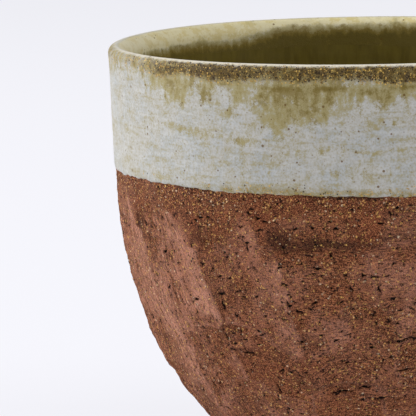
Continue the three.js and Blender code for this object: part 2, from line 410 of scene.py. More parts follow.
@dataclass
class Paring:
    """The knife work: rows of broad, leaning, slightly hollow strokes with ledges where they start.

    Attributes:
        form: The thrown form that is pared.
        top: Height at which the carving starts.
        foot: Height at which it ends.
        bite: How deep a full stroke bites.
        hollow: How much deeper its middle is.
        flat: Depth at which a flat cut would be as wide as a stroke.
        soften: How round the ridges between strokes are.
        wander: How far the strokes' sides stray.
        fray: How far their ends stray, as a share of their length.
        overrun: How far past its ends a stroke is looked at, as a share of its length.
        runout: How steeply it leaves the clay there.
        rhythm: How the strokes' differences follow each other, in radians a stroke.
        column_step: How far apart two strokes' marks are kept, which tells their scores apart.
        row_step: The same for two rows.
        middles: Azimuths of the strokes in degrees, at half of the carved height.
        lean: How many degrees a stroke leans as it goes down.
        lean_swing: How far the lean differs round the cup.
        lean_phase: Where round the cup the lean is greatest.
        burnish: How smooth and pale the knife has left each stroke, partly burnished and partly painted
            sheen.
        rows: The rows, from the top down.
    """

    form: CupForm
    top: float
    foot: float
    bite: float = 0.78 * MM
    hollow: float = 0.42 * MM
    flat: float = 0.9 * MM
    soften: float = 0.032 * MM
    wander: float = 0.7 * MM
    fray: float = 0.012
    overrun: float = 0.12
    runout: float = 15
    rhythm: float = 2.4
    column_step: float = 20 * MM
    row_step: float = 90 * MM
    middles: tuple[float, ...] = (
        -5.4, -25, -44.9, -64.1, -86, -108, -130, -152, -174, 164, 142, 120, 98, 77, 56, 35, 14,
    )
    lean: float = 14
    lean_swing: float = 12
    lean_phase: float = 20
    burnish: tuple[float, ...] = (
        0.2, 0.3, 0.85, 1.0, 0.8, 0.4, 0.75, 0.5, 0.3, 0.6, 0.45, 0.8, 0.55, 0.35, 0.5, 0.3, 0.3,
    )
    rows: tuple[StrokeRow, ...] = (
        StrokeRow(0.98, 0.42, 0.025, 0.0, 1.0, 0.02,
                  ((0, -0.05), (0.2, 0.15), (0.213, 0.95), (0.5, 1), (0.8, 0.85), (1, -0.1))),
        StrokeRow(0.58, 0.16, 0.09, 0.22, 0.6, 0.14,
                  ((0, 1.25), (0.35, 1.25), (0.75, 0.85), (1, -0.1))),
        StrokeRow(0.33, 0.01, 0.03, 0.3, 0.6, 0.12,
                  ((0, 1.3), (0.4, 1.25), (0.8, 0.7), (1, -0.1))),
    )

    def centre(self, salt: int, column: int, share: Array) -> Array:
        """Gives a stroke's middle line.

        Args:
            salt: The stroke's row.
            column: Its place in the row.
            share: Shares of the carved height.

        Returns:
            The line's azimuth at each share.
        """
        middle = self.middles[column]
        lean = self.lean - self.lean_swing * math.sin(math.radians(middle + self.lean_phase))
        shift = self.rows[salt].turn * 360 / len(self.middles) * math.sin(self.rhythm * column + salt + 1)
        return np.radians(middle + lean * (0.5 - share) + shift)

    def hollowed(self, row: StrokeRow, along: Array, flank: Array) -> Array:
        """Gives a stroke's depth before the wall's roundness is taken off.

        Args:
            row: The stroke's row.
            along: How far along the stroke each place lies, from 0 to 1.
            flank: How far off its middle, as the square of a share of its half width.

        Returns:
            The depth at each place.
        """
        depth = self.bite * np.interp(along, *zip(*row.bites))
        depth -= self.runout * self.bite * np.clip(np.abs(along - 0.5) - 0.5, 0, None)
        return depth + self.hollow * row.press * (1 - flank)

    def gloss(self, salt: int, column: int) -> float:
        """Gives how strongly a stroke is burnished and painted with sheen."""
        swing = 0.15 * math.sin(1.7 * column + 2.9 * salt)
        return self.rows[salt].press ** 2 * self.burnish[column] + swing

    def cut(self, azimuth: Array, reach: Array) -> Cut:
        """Measures the pared wall.

        Args:
            azimuth: Azimuth of each place.
            reach: Its distance up the wall.

        Returns:
            What the knife has left there.
        """
        section = self.form.wall.lifted(reach, 0.0)
        radius, facing = section[..., 0], self.form.wall.normal(reach)[..., 0]
        share = (section[..., 1] - self.foot) / (self.top - self.foot)
        space = ring_points(azimuth, section)
        aside = self.wander * LatticeNoise(11).layered(space, 5 * MM, 2) / radius
        onward = self.fray * LatticeNoise(15).layered(space, 4 * MM, 2)
        half = math.sqrt(2 * self.form.radius * self.flat)
        total = np.ones_like(reach)
        deepest, second, smooth, across, onto = (np.zeros_like(reach) for _ in range(5))
        for (salt, row), column in product(enumerate(self.rows), range(len(self.middles))):
            top = row.top + row.wander * math.sin(self.rhythm * column + salt)
            side = (azimuth - self.centre(salt, column, share) + aside + math.pi) % TURN - math.pi
            along = (share - top) / (row.foot - top) + onward
            near = np.nonzero((np.abs(side) < 0.5) & (np.abs(along - 0.5) < 0.5 + self.overrun))
            side = side[near]
            flank = (radius[near] * np.sin(side) / half) ** 2
            along = along[near] - row.bow * flank
            depth = self.hollowed(row, along, flank) - radius[near] * (1 / np.cos(side) - 1) * facing[near]
            weight = np.exp(np.clip(depth, -1 * MM, None) / self.soften)
            total[near] += weight
            # Burnishing and painted sheen grow towards the stroke's side of higher azimuth and are weaker
            # where it starts.
            pressed = 0.55 + 0.6 * eased(radius[near] * side, -1 * MM, 7 * MM)
            started = 0.55 + 0.45 * eased(along, 0.0, 0.3)
            smooth[near] += weight * self.gloss(salt, column) * pressed * started
            second[near] = np.maximum(second[near], np.minimum(deepest[near], depth))
            leads = depth > deepest[near]
            across[near] = np.where(leads, radius[near] * side + self.column_step * column, across[near])
            length = (self.top - self.foot) * (row.top - row.foot)
            onto[near] = np.where(leads, along * length + self.row_step * salt, onto[near])
            deepest[near] = np.maximum(deepest[near], depth)
        ridge = (1 - eased(deepest - second, 0.0, 0.2 * MM)) * eased(deepest, 0.05 * MM, 0.25 * MM)
        patchy = 1 + 0.7 * LatticeNoise(17).layered(space, 2.6 * MM, 2)
        return Cut(self.soften * np.log(total), ridge, smooth / total * patchy, across, onto)


class Drag(Enum):
    """How the knife dragged the grit: the turn of a tear from the level, in radians."""

    LEVEL = 0.0
    STEEP = -1.2


@dataclass(frozen=True)
class Tear:
    """A torn hole in the bare clay.

    Attributes:
        azimuth: Where it lies round the cup, in degrees.
        height: Its height over the table, in millimetres.
        length: Its length in millimetres.
        width: Its width in millimetres.
        turn: Its turn from the level, in degrees.
        depth: Its depth in millimetres.
    """

    azimuth: float
    height: float
    length: float
    width: float
    turn: float = 0.0
    depth: float = 0.5


SHOWN_TEARS = tuple(Tear(*row) for row in (
    (-14.9, 48.6, 1.9, 0.4, 4), (-10.7, 42.0, 1.5, 0.45, -14), (-18.0, 39.3, 1.3, 0.4, -20),
    (-17.6, 35.9, 1.6, 0.6, -58), (-15.3, 34.6, 1.8, 0.4, -28), (-11.7, 36.1, 1.1, 0.45, 30),
    (3.0, 38.7, 1.6, 0.35, -75), (-3.2, 38.6, 1.4, 0.35, -70), (8.6, 29.5, 4.2, 0.4, 10),
    (9.6, 24.2, 3.6, 0.35, 2), (-6.0, 20.2, 4.4, 0.4, 6), (-0.2, 20.9, 2.6, 0.45, 10),
    (-24.0, 20.2, 2.8, 0.35, -70), (-51.9, 26.6, 3.8, 0.35, -62), (-35.0, 34.8, 2.4, 0.35, -88),
    (-36.5, 28.9, 2.0, 0.35, -75), (-31.2, 26.1, 2.4, 0.4, 4), (-35.1, 36.6, 1.4, 0.45, 0),
    (-44.1, 34.7, 2.2, 0.4, 20), (-53.7, 42.2, 1.2, 0.6, 0), (-47.7, 43.0, 0.9, 0.35, 10),
    (-47.5, 37.8, 1.5, 0.3, -80), (-7.5, 49.9, 0.9, 0.35, 0), (-6.1, 48.8, 1.0, 0.45, 0),
    (-11.4, 48.9, 1.0, 0.35, -40), (3.2, 49.7, 1.1, 0.3, -10), (-25.6, 50.8, 0.9, 0.4, -35),
    (-23.6, 50.2, 1.1, 0.4, -30), (-21.9, 49.7, 1.0, 0.4, -30), (-28.0, 48.4, 1.0, 0.4, 0),
    (-7.5, 44.3, 0.8, 0.5, 80), (-17.8, 45.6, 0.9, 0.4, -50), (-0.3, 41.1, 0.9, 0.5, 30),
    (-4.4, 40.9, 0.7, 0.35, 0), (-38.5, 49.5, 0.8, 0.5, 20), (-36.5, 49.6, 0.8, 0.4, 0),
    (-52.0, 48.3, 1.1, 0.4, -35), (-62, 47.8, 1.6, 0.5, -84, 0.4), (-60.8, 45.4, 1.2, 0.5, -70, 0.4),
    (-15.4, 29.4, 0.9, 0.5, 0), (-21.9, 23.6, 0.9, 0.5, 40), (-4.9, 25.5, 0.9, 0.4, 0),
    (1.2, 28.2, 0.8, 0.5, 0), (-64.4, 25.6, 1.6, 0.4, -60), (-24.3, 33.2, 0.8, 0.4, 0),
))


@dataclass(frozen=True)
class Blot:
    """A soft patch round the cup.

    Attributes:
        azimuth: Where it lies round the cup, in degrees.
        height: Its height over the table, in millimetres.
        width: Half its width in degrees.
        spread: Half its height in millimetres.
        strength: How strong it is, negative where it takes away.
    """

    azimuth: float
    height: float
    width: float
    spread: float
    strength: float

    def amount(self, azimuth: Array, height: Array, fall: int = 2) -> Array:
        """Gives how strong it is at each place, with flatter sides for a higher fall."""
        across = turned_from(azimuth, self.azimuth) / self.width
        return self.strength * np.exp(-across ** fall - ((height - self.height) / self.spread) ** 2)


@dataclass(frozen=True)
class Sector:
    """A stretch round the cup.

    Attributes:
        middle: Azimuth of its middle, in degrees.
        core: How far to each side it is whole, in degrees.
        end: How far to each side it ends.
    """

    middle: float
    core: float
    end: float

    def outside(self, azimuth: Array) -> Array:
        """Gives 0 in its core, growing to 1 past its end."""
        return eased(np.abs(turned_from(azimuth, self.middle)), self.core, self.end)


SHOWN_GRAINS = (
    (-84.4, 44.4, 0.36), (-60.3, 39.8, 0.24), (-58.2, 38.2, 0.22), (-30.6, 36.6, 0.2), (-13.9, 34.2, 0.22),
    (-2.8, 33.6, 0.22), (8.4, 34.6, 0.24), (10.3, 34.2, 0.2), (1.6, 37.4, 0.2), (-46.4, 25.4, 0.22),
    (-35.4, 31.5, 0.18), (-24.1, 38.6, 0.18), (-7.4, 50.9, 0.2), (-2.3, 52.6, 0.2), (-0.4, 52.8, 0.22),
    (5.3, 52.9, 0.2), (-8.3, 52.6, 0.18), (-56.4, 50.2, 0.18), (-52.6, 49.7, 0.16), (-37.6, 22.4, 0.2),
)

# Patches of painted shade under the ledges where strokes start, and in dents.
LEDGE_SHADES = tuple(Blot(*row) for row in (
    (-19.2, 46.6, 2.4, 1.5, 0.95), (-12, 46.1, 7, 0.9, 0.9), (-4, 46.3, 7, 0.6, 0.8),
    (-8, 45.2, 6, 0.8, 0.35), (8, 47.2, 6, 0.6, 0.6), (-61.4, 46.9, 2.2, 2.2, 0.9),
    (-39, 46.5, 3.5, 1.6, 0.4), (-32, 26.4, 4, 0.7, 0.45), (-2, 33.6, 4, 0.6, 0.3),
    (-2, 21.3, 8, 0.5, 0.4), (9, 29.7, 4, 0.4, 0.35), (32, 46.4, 8, 0.8, 0.6), (58, 46.8, 9, 0.7, 0.6),
    (84, 46, 8, 0.8, 0.5), (112, 46.6, 9, 0.8, 0.6), (140, 46.2, 8, 0.7, 0.5), (170, 46.8, 9, 0.8, 0.6),
    (-160, 46.3, 9, 0.8, 0.6), (-132, 46.6, 9, 0.7, 0.5), (-104, 46.2, 8, 0.8, 0.6),
))

# Patches where the burnishing, and the painted sheen on facets that face the light, are stronger or weaker.
SHEENS = tuple(Blot(*row) for row in (
    (-69, 46, 5, 9, 0.6), (-47.5, 46.6, 2.6, 2.6, 0.7), (-43.5, 43.6, 2.6, 2.6, 0.75),
    (-50, 42, 8, 7, 0.3), (-62, 32, 4, 5, 0.7), (-58, 24, 4, 6, 0.4), (-47, 30, 5, 6, 0.3),
    (-36, 49, 6, 3, -0.45), (-30, 43, 6, 6, 0.15), (-14, 49.4, 6, 1.4, 0.3), (-3, 44, 14, 1.4, -0.3),
    (-11.6, 40.5, 4, 2, 0.3), (3, 43.5, 4, 2, 0.3), (-7.8, 30, 6, 5, 0.2), (9, 36, 5, 10, 0.25),
    (-39, 31, 5, 5, -0.35), (-57, 31, 5, 5, 0.45), (-53, 23, 4, 5, 0.35),
))


@dataclass
class WallMap:
    """Depths, and the painted shade of the hollows, pressed into the unrolled wall.

    Attributes:
        wall: The outline that the map follows.
        top: Distance up the wall at which the map ends.
        columns: Cells round the wall.
        rows: Cells up the wall.
        darkest: Depth from which a hole's painted shade is quite dark.
        depth: How deep each cell is pressed.
        dark: How dark each cell's painted shade is, from 0 to 1.
    """

    wall: Outline
    top: float
    columns: int = 2304
    rows: int = 480
    darkest: float = 0.28 * MM
    depth: Array = field(init=False)
    dark: Array = field(init=False)

    def __post_init__(self) -> None:
        """Starts flat and clean."""
        self.depth = np.zeros((self.rows, self.columns))
        self.dark = np.zeros((self.rows, self.columns))

    def press(self, azimuth: float, reach: float, tear: Tear, turn: float, rag: float, salt: float) -> None:
        """Presses one torn hole into the map.

        Args:
            azimuth: Where its middle lies round the cup.
            reach: How far up the wall it lies.
            tear: Its size and depth.
            turn: Its turn from the level, in radians.
            rag: How ragged its edge is.
            salt: A number that makes its edge its own.
        """
        radius = float(self.wall.lifted(np.array(reach), 0.0)[0])
        across, up = radius * TURN / self.columns, self.top / self.rows
        length, width, depth = (value * MM for value in (tear.length, tear.width, tear.depth))
        span = 0.9 * max(length, width)
        rows = np.arange(max(int((reach - span) / up), 0), min(int((reach + span) / up) + 2, self.rows))
        centre = azimuth / TURN * self.columns
        columns = np.arange(int(centre - span / across), int(centre + span / across) + 2)
        side, rise = np.meshgrid((columns - centre) * across, rows * up - reach)
        along = (math.cos(turn) * side + math.sin(turn) * rise) / (length / 2)
        over = (math.cos(turn) * rise - math.sin(turn) * side) / (width / 2)
        angle = np.arctan2(over, along)
        ragged = 1 + rag * (np.sin(3 * angle + salt) + 0.6 * np.sin(7 * angle + 2 * salt))
        gap = np.hypot(along, over + 1.5 * rag * np.sin(4 * along + salt)) * ragged
        cell = np.ix_(rows, columns % self.columns)
        self.depth[cell] = np.maximum(self.depth[cell], depth * (1 - eased(gap, 0.45, 1.15)))
        # Painted shade in the hole, darker the deeper it is.
        shade = min(1.0, depth / self.darkest) * (1 - eased(gap, 0.6, 1.05))
        self.dark[cell] = np.maximum(self.dark[cell], shade)

    def read(self, store: Array, azimuth: Array, reach: Array) -> Array:
        """Reads a store between its cells.

        Args:
            store: The depths or the darks.
            azimuth: Azimuth of each place.
            reach: Its distance up the wall.

        Returns:
            The value at each place.
        """
        across = (azimuth % TURN) / TURN * self.columns
        up = np.clip(reach / self.top * self.rows, 0, self.rows - 1.001)
        column, row = np.floor(across).astype(int), np.floor(up).astype(int)
        side, rise = across - column, up - row
        left, right = column % self.columns, (column + 1) % self.columns
        low = store[row, left] * (1 - side) + store[row, right] * side
        high = store[row + 1, left] * (1 - side) + store[row + 1, right] * side
        return low * (1 - rise) + high * rise


@dataclass
class TurnedPiece:
    """A piece made by turning a section round the axis, and then shaped point by point.

    Each corner of the section has a share, from 0 to 1 along the piece's stretch, and a lift, which is 1 on
    the piece's face and 0 on its back.

    Attributes:
        name: The piece's name.
        face: Rows along the face before they are cut finer.
        back: Rows along the back.
        steps: Columns round the axis before they are cut finer.
        along_cuts: Cuts in each of the face's rows.
        around_cuts: Cuts in each column.
        capped: The stretch ends on the axis, so the section stays open there.
        crease: Angle past which an edge is drawn sharp.
    """

    name: str
    face: int
    back: int
    steps: int
    along_cuts: int = 0
    around_cuts: int = 0
    capped: bool = False
    crease: float = math.radians(62)

    def build(self, place: Placing, layers: Layering | None = None) -> Piece:
        """Turns the section, cuts it finer and puts each point in its place.

        Args:
            place: Gives places in space for azimuths, shares and lifts.
            layers: Gives values to keep on the points, by name, from the same three.

        Returns:
            The finished piece.
        """
        form = bmesh.new()
        share = form.verts.layers.float.new("share")
        lift = form.verts.layers.float.new("lift")
        shares = np.concatenate([np.linspace(1, 0, self.back + 1), np.linspace(0, 1, self.face + 1)])
        lifts = np.repeat([0.0, 1.0], [self.back + 1, self.face + 1])
        corners = [form.verts.new(spot) for spot in place(np.zeros_like(shares), shares, lifts).tolist()]
        for corner, place_share, side in zip(corners, shares.tolist(), lifts.tolist()):
            corner[share], corner[lift] = place_share, side
        edges = [form.edges.new(pair) for pair in zip(corners, corners[1:])]
        if not self.capped:
            edges.append(form.edges.new((corners[-1], corners[0])))
        bmesh.ops.spin(form, geom=corners + edges, cent=(0, 0, 0), axis=(0, 0, 1), angle=TURN,
                       steps=self.steps, use_merge=True, use_duplicate=False)
        poles = [vert for vert in form.verts if math.hypot(vert.co.x, vert.co.y) < WELD]
        bmesh.ops.remove_doubles(form, verts=poles, dist=WELD)
        bmesh.ops.recalc_face_normals(form, faces=form.faces)
        if self.around_cuts:
            rings = [edge for edge in form.edges if self.is_level(edge, share, lift)]
            bmesh.ops.subdivide_edges(form, edges=rings, cuts=self.around_cuts, use_grid_fill=True)
        if self.along_cuts:
            rises = [edge for edge in form.edges if self.is_rise(edge, share, lift)]
            bmesh.ops.subdivide_edges(form, edges=rises, cuts=self.along_cuts, use_grid_fill=True)
        return self.shape(as_mesh(self.name, form), place, layers)

    @staticmethod
    def is_level(edge: Edge, share: Layer, lift: Layer) -> bool:
        """Tells whether an edge runs round the axis."""
        one, other = edge.verts
        return abs(one[share] - other[share]) < SLACK and one[lift] == other[lift]

    @classmethod
    def is_rise(cls, edge: Edge, share: Layer, lift: Layer) -> bool:
        """Tells whether an edge runs along the face."""
        one, other = edge.verts
        return one[lift] == other[lift] == 1.0 and not cls.is_level(edge, share, lift)

    def shape(self, mesh: Mesh, place: Placing, layers: Layering | None) -> Piece:
        """Puts each point in its place and keeps values on the points.

        Args:
            mesh: The turned mesh, with its shares and lifts.
            place: Gives places in space for azimuths, shares and lifts.
            layers: Gives values to keep on the points, by name, from the same three.

        Returns:
            The finished piece.
        """
        count = len(mesh.vertices)
        spots = np.empty(count * 3, np.float32)
        shares, lifts = np.empty(count, np.float32), np.empty(count, np.float32)
        mesh.vertices.foreach_get("co", spots)
        mesh.attributes["share"].data.foreach_get("value", shares)
        mesh.attributes["lift"].data.foreach_get("value", lifts)
        azimuth = np.arctan2(spots[0::3], -spots[1::3]).astype(np.float64)
        shares, lifts = shares.astype(np.float64), lifts.astype(np.float64)
        placed = fired(place(azimuth, shares, lifts))
        mesh.vertices.foreach_set("co", placed.astype(np.float32).ravel())
        for key in ("share", "lift"):
            mesh.attributes.remove(mesh.attributes[key])
        kept = layers(azimuth, shares, lifts) if layers else {}
        for key, values in kept.items():
            mesh.attributes.new(key, "FLOAT", "POINT").data.foreach_set("value", values.astype(np.float32))
        mesh.update()
        mesh.shade_smooth()
        mesh.set_sharp_from_angle(angle=self.crease)
        return as_piece(self.name, mesh)


def as_mesh(name: str, form: bmesh.types.BMesh) -> Mesh:
    """Turns a finished form into a mesh and frees it."""
    mesh = bpy.data.meshes.new(name)
    form.to_mesh(mesh)
    form.free()
    return mesh


def as_piece(name: str, mesh: Mesh) -> Piece:
    """Links a finished mesh to the scene as a piece at the origin."""
    piece = bpy.data.objects.new(name, mesh)
    bpy.context.scene.collection.objects.link(piece)
    return piece


class Pen:
    """Adds nodes to a tree in short calls, linking sockets and setting values alike."""

    def __init__(self, tree: Tree) -> None:
        """Keeps the tree."""
        self.tree = tree

    def feed(self, socket: Socket, value: object) -> None:
        """Links a socket or sets its value."""
        if isinstance(value, Socket):
            self.tree.links.new(value, socket)
        else:
            socket.default_value = value

    def add(self, kind: str, inputs: dict | None = None, **settings: object) -> Node:
        """Adds a node.

        Args:
            kind: The node's type, without its ShaderNode prefix.
            inputs: Values or sockets for its inputs, by name or number.
            settings: The node's own settings.

        Returns:
            The new node.
        """
        node = self.tree.nodes.new("ShaderNode" + kind)
        for name, value in settings.items():
            setattr(node, name, value)
        for key, value in (inputs or {}).items():
            self.feed(node.inputs[key], value)
        return node

    def work(self, operation: str, *values: object, clamp: bool = False) -> Socket:
        """Works out one step of arithmetic."""
        node = self.add("Math", dict(enumerate(values)), operation=operation, use_clamp=clamp)
        return node.outputs[0]

    def plus(self, one: object, other: object, clamp: bool = False) -> Socket:
        """Adds two numbers."""
        return self.work("ADD", one, other, clamp=clamp)

    def less(self, one: object, other: object) -> Socket:
        """Takes the second number from the first."""
        return self.work("SUBTRACT", one, other)

    def times(self, one: object, other: object, clamp: bool = False) -> Socket:
        """Multiplies two numbers."""
        return self.work("MULTIPLY", one, other, clamp=clamp)

    def over(self, one: object, other: object) -> Socket:
        """Divides the first number by the second."""
        return self.work("DIVIDE", one, other)

    def blend(self, total: Socket, *parts: tuple[Socket, float]) -> Socket:
        """Adds numbers to a first one, each by its weight."""
        for value, weight in parts:
            total = self.plus(total, self.times(value, weight))
        return total

    def bump(self, height: Socket, depth: float) -> Socket:
        """Turns heights from about 0 to 1 into a bump of a depth."""
        return self.add("Bump", {"Strength": 1.0, "Distance": depth, "Height": height}).outputs[0]

    def span(self, value: object, low: float, high: float, start: float = 0.0, end: float = 1.0) -> Socket:
        """Eases a value's range from low to high into start to end."""
        numbers = dict(enumerate((value, low, high, start, end)))
        return self.add("MapRange", numbers, interpolation_type="SMOOTHSTEP").outputs[0]

    def mix(self, share: object, low: object, high: object) -> Socket:
        """Mixes two colours."""
        return self.add("Mix", {0: share, 6: low, 7: high}, data_type="RGBA").outputs[2]

    def coats(self, colour: object, *coats: tuple[object, object]) -> Socket:
        """Lays coats over a colour in turn.

        Args:
            colour: The colour below.
            coats: The share and the colour of each coat.

        Returns:
            The colour on top.
        """
        for share, tint in coats:
            colour = self.mix(share, colour, tint)
        return colour

    def noise(self, vector: object, scale: object, detail: float, rough: float) -> Socket:
        """Adds a noise from about 0 to 1."""
        inputs = {"Vector": vector, "Scale": scale, "Detail": detail, "Roughness": rough}
        return self.add("TexNoise", inputs).outputs[0]

    def place(self, group: Tree, **inputs: object) -> Node:
        """Places a node group with its own values."""
        named = {key.capitalize(): value for key, value in inputs.items()}
        node = self.add("Group")
        node.node_tree = group
        for key, value in named.items():
            self.feed(node.inputs[key], value)
        return node

    def layer(self, name: str) -> Socket:
        """Reads a value kept on the piece's points."""
        return self.add("Attribute", attribute_name=name, attribute_type="GEOMETRY").outputs["Fac"]


@dataclass
class Patterns:
    """The patterns that the clay and the glazes share, each a node group.

    Attributes:
        cloud: Soft lumps of one size, with a finer grain in them.
        runs: Lumps drawn out downwards, as a glaze runs.
        specks: Scattered grains, each with its own size and tint.
    """

    cloud: Tree = field(init=False)
    runs: Tree = field(init=False)
    specks: Tree = field(init=False)

    def __post_init__(self) -> None:
        """Builds the three groups."""
        self.cloud = self.make_cloud()
        self.runs = self.make_runs()
        self.specks = self.make_specks()

    @staticmethod
    def start(name: str, takes: Sequence[str],
              gives: Sequence[str]) -> tuple[Pen, dict[str, Socket], Node]:
        """Starts a group that takes a Vector and numbers, and gives numbers.

        Args:
            name: The group's name.
            takes: Names of its numbers in.
            gives: Names of its numbers out.

        Returns:
            A pen for the group, its inputs by name, and its output node.
        """
        tree = bpy.data.node_groups.new(name, "ShaderNodeTree")
        tree.interface.new_socket(name="Vector", in_out="INPUT", socket_type="NodeSocketVector")
        for side, label in (*product(("INPUT",), takes), *product(("OUTPUT",), gives)):
            tree.interface.new_socket(name=label, in_out=side, socket_type="NodeSocketFloat")
        source, sink = tree.nodes.new("NodeGroupInput"), tree.nodes.new("NodeGroupOutput")
        return Pen(tree), {socket.name: socket for socket in source.outputs if socket.name}, sink

    def make_cloud(self) -> Tree:
        """Builds the soft lumps."""
        pen, given, sink = self.start("soft_cloud", ("Size", "Grain"), ("Value",))
        scale = pen.over(1.0, given["Size"])
        broad = pen.noise(given["Vector"], scale, 3.0, 0.55)
        fine = pen.noise(given["Vector"], pen.times(scale, 6.0), 2.0, 0.6)
        grain = pen.times(pen.less(fine, 0.5), given["Grain"])
        pen.feed(sink.inputs["Value"], pen.plus(broad, grain, clamp=True))
        return pen.tree

    def make_runs(self) -> Tree:
        """Builds the lumps that are drawn out downwards."""
        pen, given, sink = self.start("glaze_runs", ("Size", "Stretch"), ("Value",))
        scale = pen.add("CombineXYZ", {"X": 1.0, "Y": 1.0, "Z": pen.over(1.0, given["Stretch"])})
        drawn = pen.add("VectorMath", {0: given["Vector"], 1: scale.outputs[0]}, operation="MULTIPLY")
        value = pen.noise(drawn.outputs[0], pen.over(1.0, given["Size"]), 3.0, 0.55)
        pen.feed(sink.inputs["Value"], value)
        return pen.tree

    def make_specks(self) -> Tree:
        """Builds the scattered grains."""
        pen, given, sink = self.start("scattered_specks", ("Spacing", "Share", "Reach"), ("Mask", "Tint"))
        scale = pen.over(1.0, given["Spacing"])
        cells = pen.add("TexVoronoi", {"Vector": given["Vector"], "Scale": scale}, feature="F1")
        drawn = pen.add("SeparateColor", {0: cells.outputs["Color"]})
        present = pen.work("LESS_THAN", drawn.outputs[0], given["Share"])
        large = pen.times(drawn.outputs[1], drawn.outputs[1])
        size = pen.times(given["Reach"], pen.plus(0.5, pen.times(large, 1.2)))
        gap = pen.over(cells.outputs["Distance"], size)
        soft = pen.span(gap, 0.7, 1.1, 1.0, 0.0)
        pen.feed(sink.inputs["Mask"], pen.times(soft, present))
        pen.feed(sink.inputs["Tint"], drawn.outputs[2])
        return pen.tree


def new_material(name: str) -> tuple[Material, Pen, Node, Socket]:
    """Starts a material.

    Args:
        name: The material's name.

    Returns:
        The material, a pen for its nodes, its Principled BSDF and its Object coordinates.
    """
    material = bpy.data.materials.new(name)
    material.use_nodes = True
    pen = Pen(material.node_tree)
    return material, pen, material.node_tree.nodes["Principled BSDF"], pen.add("TexCoord").outputs["Object"]


@dataclass(frozen=True)
class Finish:
    """A material that each kind of finish draws in its own way.

    Attributes:
        name: The material's name.
        specular: How strongly it mirrors where it is looked at straight on.
    """

    name: str
    specular: float = 0.5

    def material(self, patterns: Patterns) -> Material:
        """Builds the material.

        Args:
            patterns: The shared patterns.

        Returns:
            The finished material.
        """
        material, pen, shader, spot = new_material(self.name)
        shader.inputs["Specular IOR Level"].default_value = self.specular
        for key, value in self.draw(pen, spot, patterns).items():
            pen.feed(shader.inputs[key], value)
        return material

    def draw(self, pen: Pen, spot: Socket, patterns: Patterns) -> dict[str, Socket]:
        """Draws the nodes.

        Args:
            pen: The material's pen.
            spot: The Object coordinates.
            patterns: The shared patterns.

        Returns:
            What the shader's sockets are fed, by name.
        """
        raise NotImplementedError


